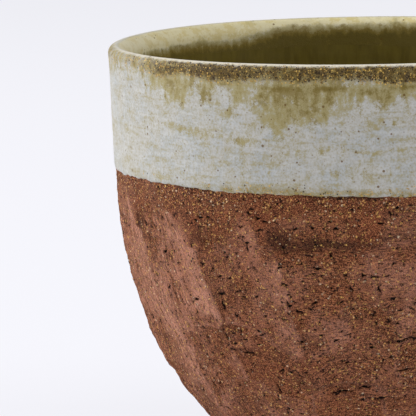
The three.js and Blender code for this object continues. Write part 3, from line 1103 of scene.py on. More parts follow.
@dataclass(frozen=True)
class ClayFinish(Finish):
    """Bare grogged stoneware.

    Attributes:
        deep: Colour of its darker patches.
        body: Its main colour.
        pale: Colour where the knife has burnished it, and of the painted sheen on lit facets.
        shadow: Colour of the painted shade in its finest hollows and under ledges.
        ember: Colour of its finest grains.
        hollow: Colour of the painted shade down in pits, tears and pinholes.
        gold: Colour of the yellow grit.
        cream: Colour of the pale grit.
        grit: Share of places that hold a grain.
        pores: Share of places that hold a pinhole.
        tooth: Height of its fine roughness.
        patch_size: Size of its darker and paler patches.
        tooth_size: Size of its fine roughness.
        grain_size: Size of its finest grains.
        pore_gap: Spacing of its pinholes.
        grit_gap: Spacing of its grit.
        jolt_size: Size of the cells that make grit and pinholes ragged.
        jolt: How far these shift them.
        shift: How far its finest grains do.
        marks: Width and length of the marks of dragged grit, those along the strokes first.
    """

    specular: float = 0.2
    deep: Colour = paint(96, 50, 30)
    body: Colour = paint(134, 73, 47)
    pale: Colour = paint(222, 160, 136)
    shadow: Colour = paint(42, 19, 9)
    ember: Colour = paint(218, 143, 95)
    hollow: Colour = paint(20, 9, 4)
    gold: Colour = paint(248, 194, 108)
    cream: Colour = paint(252, 226, 188)
    grit: float = 0.24
    pores: float = 0.55
    tooth: float = 0.2 * MM
    patch_size: float = 5 * MM
    tooth_size: float = 0.5 * MM
    grain_size: float = 0.15 * MM
    pore_gap: float = 0.5 * MM
    grit_gap: float = 0.33 * MM
    jolt_size: float = 0.11 * MM
    jolt: float = 0.16 * MM
    shift: float = 0.35 * MM
    marks: tuple[tuple[float, float], ...] = ((0.19 * MM, 1.4 * MM), (1.1 * MM, 0.2 * MM))

    def draw(self, pen: Pen, spot: Socket, patterns: Patterns) -> dict[str, Socket]:
        """Draws the bare clay."""
        specks = patterns.specks
        patch = pen.place(patterns.cloud, vector=spot, size=self.patch_size, grain=0.6).outputs[0]
        tooth = pen.place(patterns.cloud, vector=spot, size=self.tooth_size, grain=0.7).outputs[0]
        grain = pen.noise(spot, 1 / self.grain_size, 2.0, 0.6)
        ragged = self.ragged(pen, spot, grain)
        torn, broad = self.torn(pen, 1.0), self.torn(pen, 3.6)
        # Burnishing, partly real and partly painted sheen on the facets that face the light.
        burnish = pen.times(pen.layer("burnish"), pen.span(patch, 0.2, 0.55, 0.55, 1.0), clamp=True)
        scored = pen.span(pen.layer("drag"), 0.4, 1.0, 0.25, 0.9)
        coarse = pen.less(1.0, pen.times(burnish, 0.3))
        pores = pen.place(specks, vector=ragged, spacing=self.pore_gap, share=self.pores, reach=0.26)
        # Painted shade in the pits and tears, roughened by the finest grain.
        pit = pen.blend(pen.layer("pit"), (pen.less(grain, 0.5), 0.9))
        amount = pen.plus(pen.times(pen.layer("grit"), 0.28), self.grit)
        grit = pen.place(specks, vector=ragged, spacing=self.grit_gap, share=amount, reach=0.36)
        tint = pen.coats(self.ember, (pen.span(grit.outputs[1], 0.0, 0.35), self.gold),
                         (pen.span(grit.outputs[1], 0.7, 0.95), self.cream))
        colour = pen.coats(
            self.deep,
            (pen.span(patch, 0.3, 0.7), self.body),
            # Burnished clay with painted sheen.
            (pen.times(burnish, 0.85), self.pale),
            # Ridges painted paler: partly burnished clay, partly a painted highlight.
            (pen.times(pen.layer("ridge"), pen.span(patch, 0.35, 0.65, 0.15, 0.6)), self.pale),
            (pen.span(tooth, 0.45, 0.25, 0.0, 0.5), self.deep),
            (pen.times(scored, pen.span(broad, 0.47, 0.34)), self.deep),
            (pen.times(scored, pen.span(broad, 0.54, 0.68, 0.0, 0.66)), self.pale),
            (pen.times(pen.layer("grit"), 0.45), self.deep),
            # Lighter grains, and painted shade in the finest hollows of the torn marks and the grain.
            (pen.times(pen.span(torn, 0.52, 0.64), pen.times(coarse, 0.6)), self.ember),
            (pen.times(pen.span(torn, 0.48, 0.37), pen.times(coarse, 0.85)), self.shadow),
            (pen.times(pen.span(grain, 0.52, 0.64), pen.times(coarse, 0.8)), self.ember),
            (pen.times(pen.span(grain, 0.48, 0.37), pen.times(coarse, 0.95)), self.shadow),
            # Painted shade under ledges and under the glaze's edge.
            (pen.times(pen.layer("stain"), 0.7), self.shadow),
            # Painted shade down in pinholes, pits and tears.
            (pen.times(pores.outputs[0], 0.95), self.hollow),
            (pen.span(pit, 0.38, 0.62), self.hollow),
            (pen.times(grit.outputs[0], 0.95), tint),
        )
        height = pen.blend(tooth, (grain, 0.7), (torn, 1.4), (grit.outputs[0], 0.4),
                           (pores.outputs[0], -1.2))
        rough = pen.span(patch, 0.2, 0.8, 0.82, 0.95)
        return {"Base Color": colour, "Roughness": rough, "Normal": pen.bump(height, self.tooth)}

    def torn(self, pen: Pen, size: float) -> Socket:
        """Builds the marks of dragged grit, which lie along the strokes where they were dragged steeply.

        Args:
            pen: The material's pen.
            size: How many times the finest marks' size they are.

        Returns:
            The marks, from about 0 to 1.
        """
        across, along = pen.layer("across"), pen.layer("along")
        ways = []
        for wide, long in self.marks:
            place = {"X": pen.over(across, wide * size), "Y": pen.over(along, long * size)}
            ways.append(pen.noise(pen.add("CombineXYZ", place).outputs[0], 1.0, 2.0, 0.6))
        turn = pen.times(pen.layer("drag"), pen.less(ways[0], ways[1]))
        return pen.plus(ways[1], turn)

    def ragged(self, pen: Pen, spot: Socket, grain: Socket) -> Socket:
        """Shifts places a little, so that grains and pores get ragged edges."""
        cells = pen.add("TexVoronoi", {"Vector": spot, "Scale": 1 / self.jolt_size}, feature="F1")
        jolt = pen.add("VectorMath", {0: cells.outputs["Color"], "Scale": self.jolt}, operation="SCALE")
        moved = pen.add("VectorMath", {0: spot, 1: jolt.outputs[0]}, operation="ADD")
        shift = pen.times(pen.less(grain, 0.5), self.shift)
        return pen.add("VectorMath", {0: moved.outputs[0], 1: shift}, operation="ADD").outputs[0]


@dataclass(frozen=True)
class GrogFinish(Finish):
    """The grog grains that stand out of the clay.

    Attributes:
        rust: Colour of the darker grains.
        gold: Colour of the yellow grains.
        cream: Colour of the pale grains.
        patch_size: Size of its patches of one colour.
    """

    rust: Colour = paint(156, 98, 66)
    gold: Colour = paint(232, 174, 92)
    cream: Colour = paint(242, 212, 170)
    patch_size: float = 1.3 * MM

    def draw(self, pen: Pen, spot: Socket, patterns: Patterns) -> dict[str, Socket]:
        """Draws the grains."""
        tone = pen.place(patterns.cloud, vector=spot, size=self.patch_size, grain=0.9).outputs[0]
        colour = pen.coats(self.rust, (pen.span(tone, 0.38, 0.5), self.gold),
                           (pen.span(tone, 0.56, 0.68), self.cream))
        return {"Base Color": colour, "Roughness": pen.span(tone, 0.3, 0.7, 0.5, 0.8)}


@dataclass(frozen=True)
class GlazeFinish(Finish):
    """A satin stoneware glaze, pale below and olive where it has run.

    Attributes:
        pale: Its main pale colour.
        blue: Its cooler patches.
        light: Its palest grains.
        dust: Colour of its fine specks.
        cream: Its colour just inside the lip.
        honey: Its yellow patches there.
        warm: Its warmer patches.
        olive: Colour of the runs.
        moss: Colour of the thickest runs.
        pool: Its colour where it meets the liner.
        rust: Colour of the strip below the lip.
        ochre: Colour of its lower hem.
        umber: Colour of the dark grit in that strip.
        straw: Colour of the pale grit there and along the glaze's lower edge.
        sand: Colour of the golden grit between them.
        crest: Colour where it breaks thin over the lip, and of the painted highlight along the crest.
        fleck: Colour of its sparse specks.
        gleam: Its roughness.
        ripple: Height of its fine unevenness.
        cloud_size: Size of its broad patches.
        blotch_size: Size of its blotches.
        mottle_size: Size of its mottling.
        fine_size: Size of its finest grain.
        dust_gap: Spacing of its fine specks.
        sand_gap: Spacing of the golden and pale grit.
        umber_gap: Spacing of the dark grit.
        fleck_gap: Spacing of its sparse specks.
    """

    specular: float = 0.3
    pale: Colour = paint(186, 185, 178)
    blue: Colour = paint(177, 181, 181)
    light: Colour = paint(202, 202, 197)
    warm: Colour = paint(168, 159, 126)
    dust: Colour = paint(130, 114, 66)
    cream: Colour = paint(230, 220, 176)
    honey: Colour = paint(206, 186, 112)
    olive: Colour = paint(164, 152, 102)
    moss: Colour = paint(124, 106, 44)
    rust: Colour = paint(92, 70, 12)
    pool: Colour = paint(99, 85, 29)
    ochre: Colour = paint(146, 131, 76)
    umber: Colour = paint(40, 25, 4)
    straw: Colour = paint(214, 176, 92)
    sand: Colour = paint(158, 122, 44)
    crest: Colour = paint(234, 228, 212)
    fleck: Colour = paint(104, 74, 16)
    gleam: float = 0.42
    ripple: float = 0.05 * MM
    cloud_size: float = 5 * MM
    blotch_size: float = 2.4 * MM
    mottle_size: float = 0.9 * MM
    fine_size: float = 0.34 * MM
    dust_gap: float = 0.65 * MM
    sand_gap: float = 0.28 * MM
    umber_gap: float = 0.27 * MM
    fleck_gap: float = 1.4 * MM

    def draw(self, pen: Pen, spot: Socket, patterns: Patterns) -> dict[str, Socket]:
        """Draws the glaze."""
        specks = patterns.specks
        cloud = pen.place(patterns.cloud, vector=spot, size=self.cloud_size, grain=0.35).outputs[0]
        mottle = pen.place(patterns.cloud, vector=spot, size=self.mottle_size, grain=0.8).outputs[0]
        blotch = pen.place(patterns.cloud, vector=spot, size=self.blotch_size, grain=0.5).outputs[0]
        fine = pen.noise(spot, 1 / self.fine_size, 1.5, 0.5)
        runs = pen.place(patterns.runs, vector=spot, size=self.mottle_size, stretch=3.5).outputs[0]
        level = pen.place(patterns.runs, vector=spot, size=self.cloud_size, stretch=0.16).outputs[0]
        dust = pen.blend(pen.times(mottle, 0.35), (runs, 0.15), (blotch, 0.35), (level, 0.4))
        dusty = pen.place(specks, vector=spot, spacing=self.dust_gap, share=0.55, reach=0.19)
        inner, strip, hem = pen.layer("inner"), pen.layer("strip"), pen.layer("hem")
        waver = pen.blend(pen.times(pen.less(runs, 0.5), 1.6), (pen.less(mottle, 0.5), 1.5))
        waver = pen.times(waver, pen.less(1.0, pen.times(inner, 0.7)))
        olive = pen.plus(pen.layer("olive"), waver)
        worn = pen.times(strip, pen.span(mottle, 0.32, 0.66, 1.5, 0.6))
        share = pen.blend(pen.span(strip, 0.0, 0.3, 0.0, 0.55), (hem, 0.5))
        sand = pen.place(specks, vector=spot, spacing=self.sand_gap, share=share, reach=0.45)
        tint = pen.mix(pen.span(sand.outputs[1], 0.2, 0.7), self.sand, self.straw)
        share = pen.times(pen.span(strip, 0.1, 0.9), pen.span(mottle, 0.42, 0.57, 0.95, 0.3))
        share = pen.blend(share, (hem, 0.08))
        grains = pen.place(specks, vector=spot, spacing=self.umber_gap, share=share, reach=0.56)
        flecks = pen.place(specks, vector=spot, spacing=self.fleck_gap, share=0.6, reach=0.11)
        colour = pen.coats(
            self.blue,
            (pen.span(cloud, 0.35, 0.6), self.pale),
            (pen.span(dust, 0.6, 0.78, 0.0, 0.85), self.warm),
            (pen.span(dust, 0.62, 0.5, 0.0, 0.4), self.light),
            (pen.span(level, 0.55, 0.72, 0.0, 0.6), self.warm),
            (pen.span(level, 0.45, 0.3, 0.0, 0.4), self.light),
            (pen.times(dusty.outputs[0], 0.6), self.dust),
            (pen.span(fine, 0.5, 0.34, 0.0, 0.44), self.olive),
            (pen.span(fine, 0.52, 0.68, 0.0, 0.4), self.light),
            (inner, self.cream),
            (pen.times(inner, pen.span(blotch, 0.46, 0.62, 0.0, 0.6)), self.honey),
            (pen.span(olive, 0.22, 1.0, 0.0, 0.95), self.olive),
            (pen.span(olive, 0.9, 1.8), self.moss),
            (pen.times(pen.span(olive, 0.4, 0.8, 0.0, 0.6), pen.span(blotch, 0.5, 0.36)), self.moss),
            (pen.span(olive, 1.7, 2.4), self.pool),
            (pen.span(worn, 0.2, 0.8, 0.0, 0.95), self.rust),
            (pen.times(hem, pen.span(mottle, 0.3, 0.6, 0.35, 0.95)), self.ochre),
            # Thin glaze over the crest with a painted highlight, and painted light inside the lip on the
            # left.
            (pen.layer("bare"), self.crest),
            (pen.times(sand.outputs[0], 0.85), tint),
            (pen.times(grains.outputs[0], 0.9), self.umber),
            (pen.times(flecks.outputs[0], 0.85), self.fleck),
        )
        rough = pen.span(mottle, 0.3, 0.7, self.gleam - 0.06, self.gleam + 0.1)
        height = pen.blend(mottle, (grains.outputs[0], -0.6), (fine, 0.4))
        return {"Base Color": colour, "Roughness": pen.blend(rough, (strip, 0.25)),
                "Normal": pen.bump(height, self.ripple)}


@dataclass(frozen=True)
class LinerFinish(Finish):
    """The olive glaze that lines the cup.

    Attributes:
        olive: Its main colour.
        dark: Colour of its darker runs.
        gleam: Its roughness.
        ripple: Height of its fine unevenness.
        run_size: Size of its runs.
        cloud_size: Size of its patches.
    """

    specular: float = 0.3
    olive: Colour = paint(108, 94, 33)
    dark: Colour = paint(88, 75, 22)
    gleam: float = 0.4
    ripple: float = 0.04 * MM
    run_size: float = 1.1 * MM
    cloud_size: float = 4 * MM

    def draw(self, pen: Pen, spot: Socket, patterns: Patterns) -> dict[str, Socket]:
        """Draws the liner."""
        runs = pen.place(patterns.runs, vector=spot, size=self.run_size, stretch=5.0).outputs[0]
        cloud = pen.place(patterns.cloud, vector=spot, size=self.cloud_size, grain=0.5).outputs[0]
        colour = pen.coats(self.dark, (pen.span(runs, 0.2, 0.8), self.olive),
                           (pen.span(cloud, 0.55, 0.8, 0.0, 0.5), self.dark))
        rough = pen.span(cloud, 0.3, 0.7, self.gleam - 0.06, self.gleam + 0.1)
        return {"Base Color": colour, "Roughness": rough, "Normal": pen.bump(cloud, self.ripple)}


class ClayRing(Enum):
    """The rings of bare clay, by the shares of the bare wall that each spans."""

    HEEL = (0.0, 1 / 3)
    BELLY = (1 / 3, 2 / 3)
    SHOULDER = (2 / 3, 1.0)


@dataclass
class ClayWall:
    """The clay: three pared rings, the ring that the glazes hide, the floor and the grog.

    Attributes:
        form: The thrown form.
        paring: The knife work on it.
        glaze_line: Distance up the wall at which the glaze starts, on average.
        edge: Gives that distance at each azimuth.
        hidden: How far the bare rings go on under the glaze.
        pits: How many small pits are scattered over the wall.
        rips: How many longer tears are.
        lumps: How far the surface swells and sinks over a few millimetres.
        tooth: How rough the surface is over half a millimetre.
        scores: How deep the blade has scored it along the strokes.
        lump_size: Size of its swells.
        tooth_size: Size of its roughness.
        rip_length: Shortest and longest of the scattered tears, in millimetres.
        rip_width: Narrowest and widest.
        rip_depth: Their depth.
        pit_size: Smallest and largest size of the small pits, in millimetres.
        pit_stretch: How many times as long as wide these pits are, least and most.
        pit_depth: Its depth, as a share of its size.
        dark_seam: Where the painted shadow line under the glaze's edge is darkest, by azimuth and width in
            degrees.
        score_width: Width of a score, in millimetres.
        score_length: Its length.
        rags: How ragged the drawn tears, the scattered tears and the pits are.
        grains: How many grog grains are tried.
        grain_size: Smallest and largest scattered grain, in millimetres.
        spiral_depth: Half the depth of the turned spiral under the floor.
        spiral_pitch: Its pitch.
        seed: Seeds the scattering.
        map: The unrolled wall with its pits and tears.
    """

    form: CupForm
    paring: Paring
    glaze_line: float
    edge: Edging
    hidden: float = 1.2 * MM
    pits: int = 5200
    rips: int = 520
    lumps: float = 0.1 * MM
    tooth: float = 0.085 * MM
    scores: float = 0.075 * MM
    lump_size: float = 6 * MM
    tooth_size: float = 0.9 * MM
    rip_length: tuple[float, float] = (0.6, 1.7)
    rip_width: tuple[float, float] = (0.24, 0.42)
    rip_depth: float = 0.3
    pit_size: tuple[float, float] = (0.18, 0.44)
    pit_stretch: tuple[float, float] = (1.2, 3.2)
    pit_depth: float = 0.5
    dark_seam: tuple[float, float] = (-2, 6)
    score_width: float = 1.1
    score_length: float = 5.0
    rags: tuple[float, float, float] = (0.26, 0.18, 0.2)
    grains: int = 9000
    grain_size: tuple[float, float] = (0.06, 0.15)
    spiral_depth: float = 0.09 * MM
    spiral_pitch: float = 2.6 * MM
    seed: int = 41
    map: WallMap = field(init=False)

    def __post_init__(self) -> None:
        """Presses the pits and the tears into the map."""
        self.map = WallMap(self.form.wall, self.glaze_line + self.hidden)
        draw = np.random.default_rng(self.seed)
        for tear in SHOWN_TEARS:
            reach = float(self.form.wall.distance_at_height(tear.height * MM))
            azimuth = math.radians(tear.azimuth)
            self.map.press(azimuth, reach, tear, math.radians(tear.turn), self.rags[0], tear.azimuth)
        for azimuth, reach in self.scatter(draw, self.rips):
            length, width = draw.uniform(*self.rip_length), draw.uniform(*self.rip_width)
            turn = self.drag(azimuth, draw)
            tear = Tear(0, 0, length, width, depth=self.rip_depth)
            self.map.press(azimuth, reach, tear, turn, self.rags[1], draw.uniform(0, TURN))
        for azimuth, reach in self.scatter(draw, self.pits):
            size, stretch = draw.uniform(*self.pit_size), draw.uniform(*self.pit_stretch)
            turn = self.drag(azimuth, draw)
            tear = Tear(0, 0, size * stretch, size, depth=self.pit_depth * size)
            self.map.press(azimuth, reach, tear, turn, self.rags[2], draw.uniform(0, TURN))

    def scatter(self, draw: np.random.Generator, count: int) -> list[tuple[float, float]]:
        """Draws places on the bare wall, spread evenly over its area.

        Args:
            draw: The seeded random numbers.
            count: How many places to try, of which those on a narrower part are partly left out.

        Returns:
            Azimuth and distance up the wall of each place.
        """
        azimuth = draw.uniform(-math.pi, math.pi, count)
        reach = draw.uniform(0.7 * MM, self.glaze_line, count)
        radius = self.form.wall.lifted(reach, 0.0)[:, 0]
        kept = draw.uniform(0, self.form.radius, count) < radius
        return list(zip(azimuth[kept].tolist(), reach[kept].tolist()))

    @staticmethod
    def steepness(azimuth: Array | float) -> Array | float:
        """Gives how far the knife dragged the grit along its strokes, from 0 to 1."""
        return 0.5 + 0.5 * np.cos(3 * (azimuth + math.radians(62)))

    def drag(self, azimuth: float, draw: np.random.Generator) -> float:
        """Chooses how a tear at an azimuth is turned."""
        way = Drag.STEEP if draw.uniform() < self.steepness(azimuth) else Drag.LEVEL
        return way.value + draw.normal(0, 0.3)

    def skin(self, azimuth: Array, reach: Array, lift: float | Array = 0.0) -> Array:
        """Gives places on the pared, torn surface.

        Args:
            azimuth: Azimuth of each place.
            reach: Its distance up the wall.
            lift: How far out of the surface it lies.

        Returns:
            Places in space.
        """
        space = self.form.wall_space(azimuth, reach)
        bare = 1 - eased(reach, self.glaze_line - 0.2 * MM, self.glaze_line + 0.5 * MM)
        bare = bare * eased(reach, 0.0, 0.6 * MM)
        cut = self.paring.cut(azimuth, reach)
        ways = np.stack([cut.across / self.score_width, cut.along / self.score_length, 0 * reach], axis=-1)
        scored = (0.25 + 0.75 * self.steepness(azimuth)) * bare
        depth = cut.depth + self.scores * LatticeNoise(9).layered(ways, MM, 2) * scored
        depth += self.map.read(self.map.depth, azimuth, reach) * bare
        depth += self.lumps * LatticeNoise(3).layered(space, self.lump_size, 2) * bare
        depth += self.tooth * LatticeNoise(7).layered(space, self.tooth_size, 2) * bare
        return self.form.wall_space(azimuth, reach, lift - depth)

    def grit(self, azimuth: Array, reach: Array) -> Array:
        """Gives how thickly grit lies, thickest in a strip under the glaze."""
        space = self.form.wall_space(azimuth, reach)
        edge = self.glaze_line - (3.4 + 1.2 * LatticeNoise(21).at(space, 9 * MM)) * MM
        patches = eased(LatticeNoise(23).layered(space, 8 * MM, 2), 0.0, 0.9)
        return np.maximum(eased(reach, edge - 1.5 * MM, edge + 1.5 * MM), 0.6 * patches)

    def stain(self, azimuth: Array, reach: Array) -> Array:
        """Gives the painted shade under ledges and the painted shadow line under the glaze's edge."""
        space = self.form.wall_space(azimuth, reach)
        height = space[..., 2] / MM + 0.5 * LatticeNoise(91).layered(space, 3 * MM, 2)
        total = sum(blot.amount(azimuth, height, 4) for blot in LEDGE_SHADES)
        # Painted shadow line on the clay under the glaze's rolled edge, in patches.
        under = 1 - eased((self.edge(azimuth) - reach) / MM, 0.1, 0.55)
        seam = eased(LatticeNoise(97).at(space, 7 * MM), -0.1, 0.4) + bell(azimuth, *self.dark_seam, 4)
        return np.clip(total + under * seam, 0, 1)

    def sheen(self, azimuth: Array, reach: Array) -> Array:
        """Gives how much more or less than its stroke a place is burnished and painted with sheen."""
        space = self.form.wall_space(azimuth, reach)
        height = space[..., 2] / MM
        patches = 0.22 * LatticeNoise(93).layered(space, 4 * MM, 3)
        return sum((blot.amount(azimuth, height) for blot in SHEENS), patches)

    def inner(self, reach: float) -> float:
        """Finds the distance along the clay's inside that lies behind a place on the wall."""
        point = self.form.wall.lifted(np.array(reach), 0.0)
        return self.form.clay.nearest(point, self.form.lip_end, self.form.clay.length)

    def build_ring(self, ring: ClayRing) -> Piece:
        """Builds one pared ring, through the whole thickness of the wall.

        Args:
            ring: Which ring.

        Returns:
            The ring.
        """
        low, high = (share * (self.glaze_line + self.hidden) for share in ring.value)
        inner_low, inner_high = self.inner(low), self.inner(high)

        def up(share: Array) -> Array:
            """Gives the distance up the wall."""
            return low + share * (high - low)

        def place(azimuth: Array, share: Array, lift: Array) -> Array:
            """Puts the face on the pared skin and the back on the inner wall."""
            back = self.form.space_at(azimuth, inner_low + share * (inner_high - inner_low))
            return np.where(lift[:, None] > 0.5, self.skin(azimuth, up(share)), back)

        def layers(azimuth: Array, share: Array, lift: Array) -> dict[str, Array]:
            """Gives the painted shade in pits and tears, the ridges, grit, painted shade under ledges,
            burnishing with painted sheen, and the knife's way at each point of the face.
            """
            reach = up(share)
            cut = self.paring.cut(azimuth, reach)
            return {
                # Painted shade in pits and tears, painted shade under ledges and the glaze's edge, and
                # burnishing with painted sheen.
                "pit": self.map.read(self.map.dark, azimuth, reach) * lift,
                "grit": self.grit(azimuth, reach) * lift,
                "stain": self.stain(azimuth, reach) * lift,
                "ridge": cut.ridge * lift,
                "burnish": np.clip(cut.burnish + self.sheen(azimuth, reach), 0, 1.2) * lift,
                "across": cut.across, "along": cut.along, "drag": self.steepness(azimuth),
            }

        name = "clay_" + ring.name.lower()
        piece = TurnedPiece(name, face=16, back=6, steps=225, along_cuts=4, around_cuts=4)
        return piece.build(place, layers)

    def build_lip(self) -> Piece:
        """Builds the ring of clay that the glazes hide."""
        low = self.glaze_line + self.hidden
        inner = self.inner(low)

        def place(azimuth: Array, share: Array, lift: Array) -> Array:
            """Puts the face on the outside and the crest, and the back on the inner wall."""
            face = low + share * (self.form.lip_end - low)
            back = inner + share * (self.form.lip_end + 0.5 * MM - inner)
            return self.form.space_at(azimuth, np.where(lift > 0.5, face, back))

        return TurnedPiece("clay_lip", face=40, back=6, steps=192).build(place)

    def build_floor(self) -> Piece:
        """Builds the floor, with a shallow turned spiral under it."""
        base, radius, pitch = self.form.foot_height, self.form.base_radius, self.spiral_pitch
        inner = self.inner(0.0)

        def place(azimuth: Array, share: Array, lift: Array) -> Array:
            """Puts the face under the base and the back on the inner floor."""
            across = radius * (1 - share)
            groove = self.spiral_depth * (1 + np.cos(TURN * across / pitch + azimuth))
            groove = groove * eased(across, 0.0, pitch) * eased(across, radius, radius - pitch)
            face = ring_points(azimuth, np.stack([across, base + groove], axis=-1))
            back = self.form.space_at(azimuth, inner + share * (self.form.clay.length - inner))
            return np.where(lift[:, None] > 0.5, face, back)

        return TurnedPiece("clay_floor", face=60, back=24, steps=240, capped=True).build(place)

    def build_grog(self) -> Piece:
        """Builds the grains that stand out of the bare clay."""
        draw = np.random.default_rng(self.seed + 1)
        azimuth, reach = np.array(self.scatter(draw, self.grains)).T
        thick = 0.3 + 0.7 * self.grit(azimuth, reach)
        kept = draw.uniform(0, 1, len(azimuth)) < thick
        azimuth, reach = azimuth[kept], reach[kept]
        sizes = draw.uniform(*self.grain_size, len(azimuth)) * MM
        turns, heights, widths = np.array(SHOWN_GRAINS).T
        azimuth = np.append(azimuth, np.radians(turns))
        reach = np.append(reach, self.form.wall.distance_at_height(heights * MM))
        sizes = np.append(sizes, widths * MM)
        spots = self.skin(azimuth, reach, -0.2 * sizes)
        seed_form = bmesh.new()
        bmesh.ops.create_icosphere(seed_form, subdivisions=1, radius=1.0)
        grain = as_mesh("grain", seed_form)
        form = bmesh.new()
        for spot, size in zip(spots.tolist(), sizes.tolist()):
            stretch = Vector(draw.uniform(0.6, 1.4, 3)) * size
            turn = Euler(draw.uniform(0, TURN, 3))
            move = Matrix.LocRotScale(Vector(spot), turn, stretch)
            grain.transform(move)
            form.from_mesh(grain)
            grain.transform(move.inverted())
        bpy.data.meshes.remove(grain)
        return as_piece("clay_grog", as_mesh("clay_grog", form))


@dataclass
class FootRing:
    """The luted foot ring.

    Attributes:
        radius: Its outer radius where it meets the base.
        height: Its height.
        width: Its width there.
        draft: How far each side is drawn in towards the table.
        edge: How far its lower edges are rounded.
        rough: How uneven it is.
        fade: How far from the table and the base it is even.
    """

    radius: float
    height: float
    width: float = 5 * MM
    draft: float = 0.6 * MM
    edge: float = 0.9 * MM
    rough: float = 0.05 * MM
    fade: float = 0.6 * MM

    def build(self) -> Piece:
        """Builds the ring, rounded below and a little uneven."""
        quarter = np.linspace(0, math.pi / 2, 8)
        outer, inner = self.radius - self.draft, self.radius - self.width + self.draft
        curl, drop = self.edge * (1 - np.cos(quarter)), self.edge * (1 - np.sin(quarter))
        section = Outline(np.concatenate([
            [[self.radius - self.width, self.height]],
            np.stack([inner + curl, drop], axis=1),
            np.stack([outer - drop, curl], axis=1),
            [[self.radius, self.height]],
        ]))

        def place(azimuth: Array, share: Array, lift: Array) -> Array:
            """Puts the face on the ring's outline and the back under the base."""
            reach = share * section.length
            face = section.lifted(reach, 0.0)
            space = ring_points(azimuth, face)
            rough = self.rough * LatticeNoise(31).layered(space, 2.5 * MM, 3)
            sides = eased(face[:, 1], 0.0, self.fade) * eased(self.height - face[:, 1], 0.0, self.fade)
            face = section.lifted(reach, (-self.rough - rough) * sides)
            across = self.radius - self.width * (1 - share)
            back = np.stack([across, np.full_like(across, self.height)], axis=-1)
            return ring_points(azimuth, np.where(lift[:, None] > 0.5, face, back))

        piece = TurnedPiece("foot_ring_turned", face=16, back=2, steps=96, along_cuts=2, around_cuts=3)
        return piece.build(place)


@dataclass(frozen=True)
class Wave:
    """One wave of a glaze's edge: how many times round the cup, how strong, and how far turned."""

    count: int
    weight: float
    turn: float


